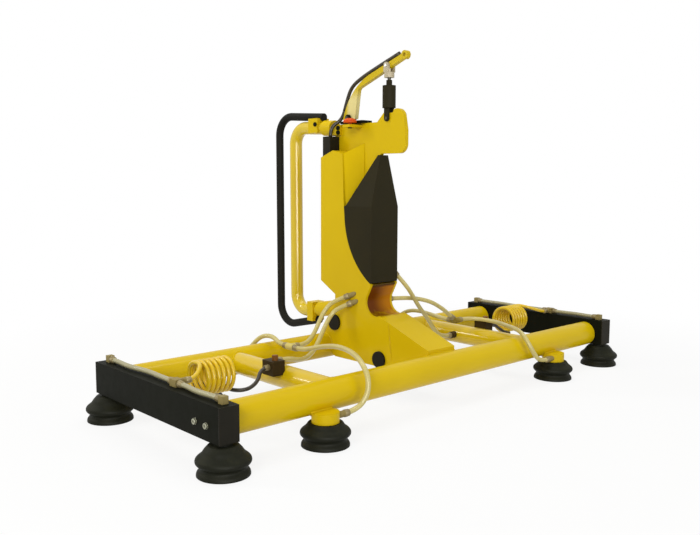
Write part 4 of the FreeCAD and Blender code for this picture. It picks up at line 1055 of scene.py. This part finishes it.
# Suction cups: bellows with a thin flared lip, a ringed dish and radial cleats
CUP_OUTSIDE = [
    (57.5, 0.0), (57.5, 2.5), (56.6, 7.0), (53.0, 11.5), (50.9, 15.0), (50.9, 18.0), (53.6, 21.5),
    (57.8, 25.0), (60.0, 28.6), (60.0, 32.6), (58.4, 36.6), (53.4, 41.0), (48.4, 44.6), (45.2, 48.4),
    (42.6, 52.4),
]
CUP_BAR_NECK = [(41.0, 54.9), (37.2, 59.0), (34.2, 62.4), (33.0, 63.6), (32.4, 64.0)]
CUP_TUBE_NECK = [(41.4, 54.0), (40.6, 54.5), (30.0, 54.5), (28.0, 55.0), (28.0, 63.4), (27.4, 64.0)]
CUP_UNDERSIDE = [
    (0.0, 9.0), (14.0, 9.0), (16.0, 8.4), (18.0, 9.0), (28.0, 8.6), (30.0, 7.8), (32.0, 8.2), (42.0, 6.0),
    (49.0, 3.0), (54.0, 0.8), (56.0, 0.0),
]
CUP_SIDES = 72
CUP_HIGH = 64.0
CUP_BOSS_RADIUS = 19.5
BAR_BOSS_TOP = 70.0
TUBE_BOSS_TOP = 64.5
CLEAT_COUNT = 12
CLEAT_SIZE = (22.0, 3.2, 3.0)
CLEAT_ROUNDING = 1.1
CLEAT_RING = 36.0
CLEAT_Z = 7.4
UP = Vector((0.0, 0.0, 1.0))


def cup_shape(neck, boss_top):
    top = [(CUP_BOSS_RADIUS, CUP_HIGH), (CUP_BOSS_RADIUS, boss_top), (0.0, boss_top)]
    return turned("cup", CUP_UNDERSIDE + corner_cut(CUP_OUTSIDE + neck) + top, CUP_SIDES)


def cleat_shape():
    """Low rounded rib that lies along X."""
    work = bmesh.new()
    bmesh.ops.create_cube(work, size=1.0)
    bmesh.ops.scale(work, vec=[length * MM for length in CLEAT_SIZE], verts=work.verts)
    bmesh.ops.bevel(
        work, geom=work.edges[:], offset=CLEAT_ROUNDING * MM, segments=2, affect="EDGES", profile=0.5,
    )
    mesh = bpy.data.meshes.new("cleat")
    work.to_mesh(mesh)
    work.free()
    return smooth(mesh)


def cups(name, seats, neck, boss_top, body, node):
    """Piece with one cup on every seat, with its cleats."""
    shape = pattern("cleat_shape", cleat_shape())
    spokes = CLEATS.made(
        "cleats", bpy.data.meshes.new("none"), count=CLEAT_COUNT, ring_radius=CLEAT_RING * MM, shape=shape,
        material=CUP,
    )
    bpy.data.objects.remove(shape)
    spokes.transform(Matrix.Translation(UP * CLEAT_Z * MM))
    single = bmesh.new()
    single.from_mesh(cup_shape(neck, boss_top))
    single.from_mesh(spokes)
    whole = bpy.data.meshes.new("cup")
    single.to_mesh(whole)
    single.free()
    rows = [(Vector((x, y, 0.0)) * MM, UP) for x, y in seats]
    piece(name, copies(name, whole, rows, CUP), body, None, (node,))


CUP_BAR_X = 749.0
CUP_BAR_Y = 258.0
for side, flip in (("left", -1.0), ("right", 1.0)):
    bar_seats = [(flip * CUP_BAR_X, -CUP_BAR_Y), (flip * CUP_BAR_X, CUP_BAR_Y)]
    tube_seats = [(flip * SOCKET_X, -SOCKET_Y), (flip * SOCKET_X, SOCKET_Y)]
    cups(f"{side}_bar_bellows", bar_seats, CUP_BAR_NECK, BAR_BOSS_TOP, f"{side}_bar", f"{side}_bar_cups")
    cups(f"{side}_tube_bellows", tube_seats, CUP_TUBE_NECK, TUBE_BOSS_TOP, "frame", f"{side}_tube_cups")

# Release button: mushroom head on its stem
BUTTON_AT = Vector((-41.0, 122.0, 0.0)) * MM
BUTTON_STEM = [(0.0, 763.0), (5.4, 763.0), (6.0, 763.6), (6.0, 778.5)]
BUTTON_HEAD = [
    (6.0, 778.5), (16.5, 778.5), (19.4, 779.3), (20.0, 782.0), (19.2, 786.4), (15.0, 790.4), (8.0, 792.5),
]
BUTTON_CROWN = [(0.0, 793.0)]
BUTTON_SIDES = 48
button_rows = BUTTON_STEM + corner_cut(BUTTON_HEAD)[1:] + BUTTON_CROWN
mushroom = turned("release_mushroom", button_rows, BUTTON_SIDES)
mushroom.transform(Matrix.Translation(BUTTON_AT))
piece("release_mushroom", mushroom, "button", RED, ("release_button",))

# Studio: pale floor, soft boxes and the photograph's camera
FLOOR_PALE = (0.84, 0.84, 0.82, 1.0)
FLOOR_WHITENS = (0.9, 1.9, 0.86, 1.0)
FLOOR_HALF = 14.0
FLOOR_DROP = 0.5 * MM
WORLD_LIGHT = 0.42


def stage_floor():
    """Floor that takes shadows near the object and whitens away from it."""
    made = Finish("studio_floor")
    away = made.node("ShaderNodeVectorMath", {"operation": "LENGTH"}, {0: made.place()}, out="Value")
    plain = made.node("ShaderNodeBsdfDiffuse", None, {"Color": FLOOR_PALE})
    white = made.node("ShaderNodeEmission", None, {"Color": WHITE, "Strength": 1.0})
    share = made.seen() * made.ramp(away, *FLOOR_WHITENS)
    both = made.node("ShaderNodeMixShader", None, {0: share, 1: plain, 2: white})
    made.node("ShaderNodeOutputMaterial", None, {"Surface": both})
    mesh = bpy.data.meshes.new("studio_floor")
    signs = ((-1.0, -1.0), (1.0, -1.0), (1.0, 1.0), (-1.0, 1.0))
    mesh.from_pydata([(x * FLOOR_HALF, y * FLOOR_HALF, 0.0) for x, y in signs], [], [(0, 1, 2, 3)])
    mesh.materials.append(made.material)
    floor = bpy.data.objects.new("studio_floor", mesh)
    floor.location.z = -FLOOR_DROP
    scene.collection.objects.link(floor)


def backdrop_world():
    """White to look at, and dimmer as a light."""
    world = bpy.data.worlds.new("studio")
    world.use_nodes = True
    scene.world = world
    graph = Graph(world.node_tree)
    world.node_tree.nodes.clear()
    strength = graph.seen() * (1.0 - WORLD_LIGHT) + WORLD_LIGHT
    sky = graph.node("ShaderNodeBackground", None, {"Color": WHITE, "Strength": strength})
    graph.node("ShaderNodeOutputWorld", None, {"Surface": sky})


def soft_box(name, place, aim, size, power, tint=(1.0, 1.0, 1.0), only_gloss=False):
    """Area lamp; one with only_gloss shows in reflections and lights nothing else."""
    lamp = bpy.data.lights.new(name, "AREA")
    lamp.shape = "RECTANGLE"
    lamp.size, lamp.size_y = size
    lamp.energy = power
    lamp.color = tint
    held = bpy.data.objects.new(name, lamp)
    held.location = place
    held.rotation_euler = (Vector(aim) - Vector(place)).to_track_quat("-Z", "Y").to_euler()
    held.visible_diffuse = not only_gloss
    scene.collection.objects.link(held)


KEY_TINT = (1.0, 0.98, 0.94)
stage_floor()
backdrop_world()
soft_box("key_box", (-3.6, -2.0, 2.2), (0.0, 0.0, 0.4), size=(1.6, 1.6), power=78.0, tint=KEY_TINT)
soft_box("top_box", (0.2, 0.4, 3.6), (0.0, 0.0, 0.2), size=(2.4, 1.4), power=47.0)
soft_box("window_box", (0.5, -3.2, 0.8), (0.0, 0.3, 0.5), size=(0.7, 1.3), power=17.0)
soft_box("handle_box", (-1.7, -2.5, 0.55), (0.0, 0.45, 0.55), size=(1.7, 1.3), power=74.0, only_gloss=True)
soft_box("strip_box", (-2.4, 2.6, 2.4), (-0.1, 0.2, 0.4), size=(0.3, 1.7), power=34.0)

IMAGE_WIDTH = 700.0
SENSOR_WIDTH = 36.0
FOCAL_PIXELS = 793.554
CAMERA_AT = (-1.64517, -1.61464, 0.61418)
CAMERA_YAW = 0.746409
CAMERA_PITCH = 0.110652
CAMERA_ROLL = -0.003138
CAMERA_NEAR = 0.05
outreach = math.cos(CAMERA_PITCH)
ahead = Vector((
    math.sin(CAMERA_YAW) * outreach, math.cos(CAMERA_YAW) * outreach, -math.sin(CAMERA_PITCH),
))
level = Vector((math.cos(CAMERA_YAW), -math.sin(CAMERA_YAW), 0.0))
down = ahead.cross(level)
across = level * math.cos(CAMERA_ROLL) + down * math.sin(CAMERA_ROLL)
upright = level * math.sin(CAMERA_ROLL) - down * math.cos(CAMERA_ROLL)
lens = bpy.data.cameras.new("photo_camera")
lens.sensor_fit = "HORIZONTAL"
lens.sensor_width = SENSOR_WIDTH
lens.lens = FOCAL_PIXELS / IMAGE_WIDTH * SENSOR_WIDTH
lens.clip_start = CAMERA_NEAR
camera = bpy.data.objects.new("photo_camera", lens)
turned_to = Matrix((across, upright, -ahead)).transposed().to_4x4()
camera.matrix_world = Matrix.Translation(CAMERA_AT) @ turned_to
scene.collection.objects.link(camera)
scene.camera = camera
scene.view_settings.view_transform = "Standard"
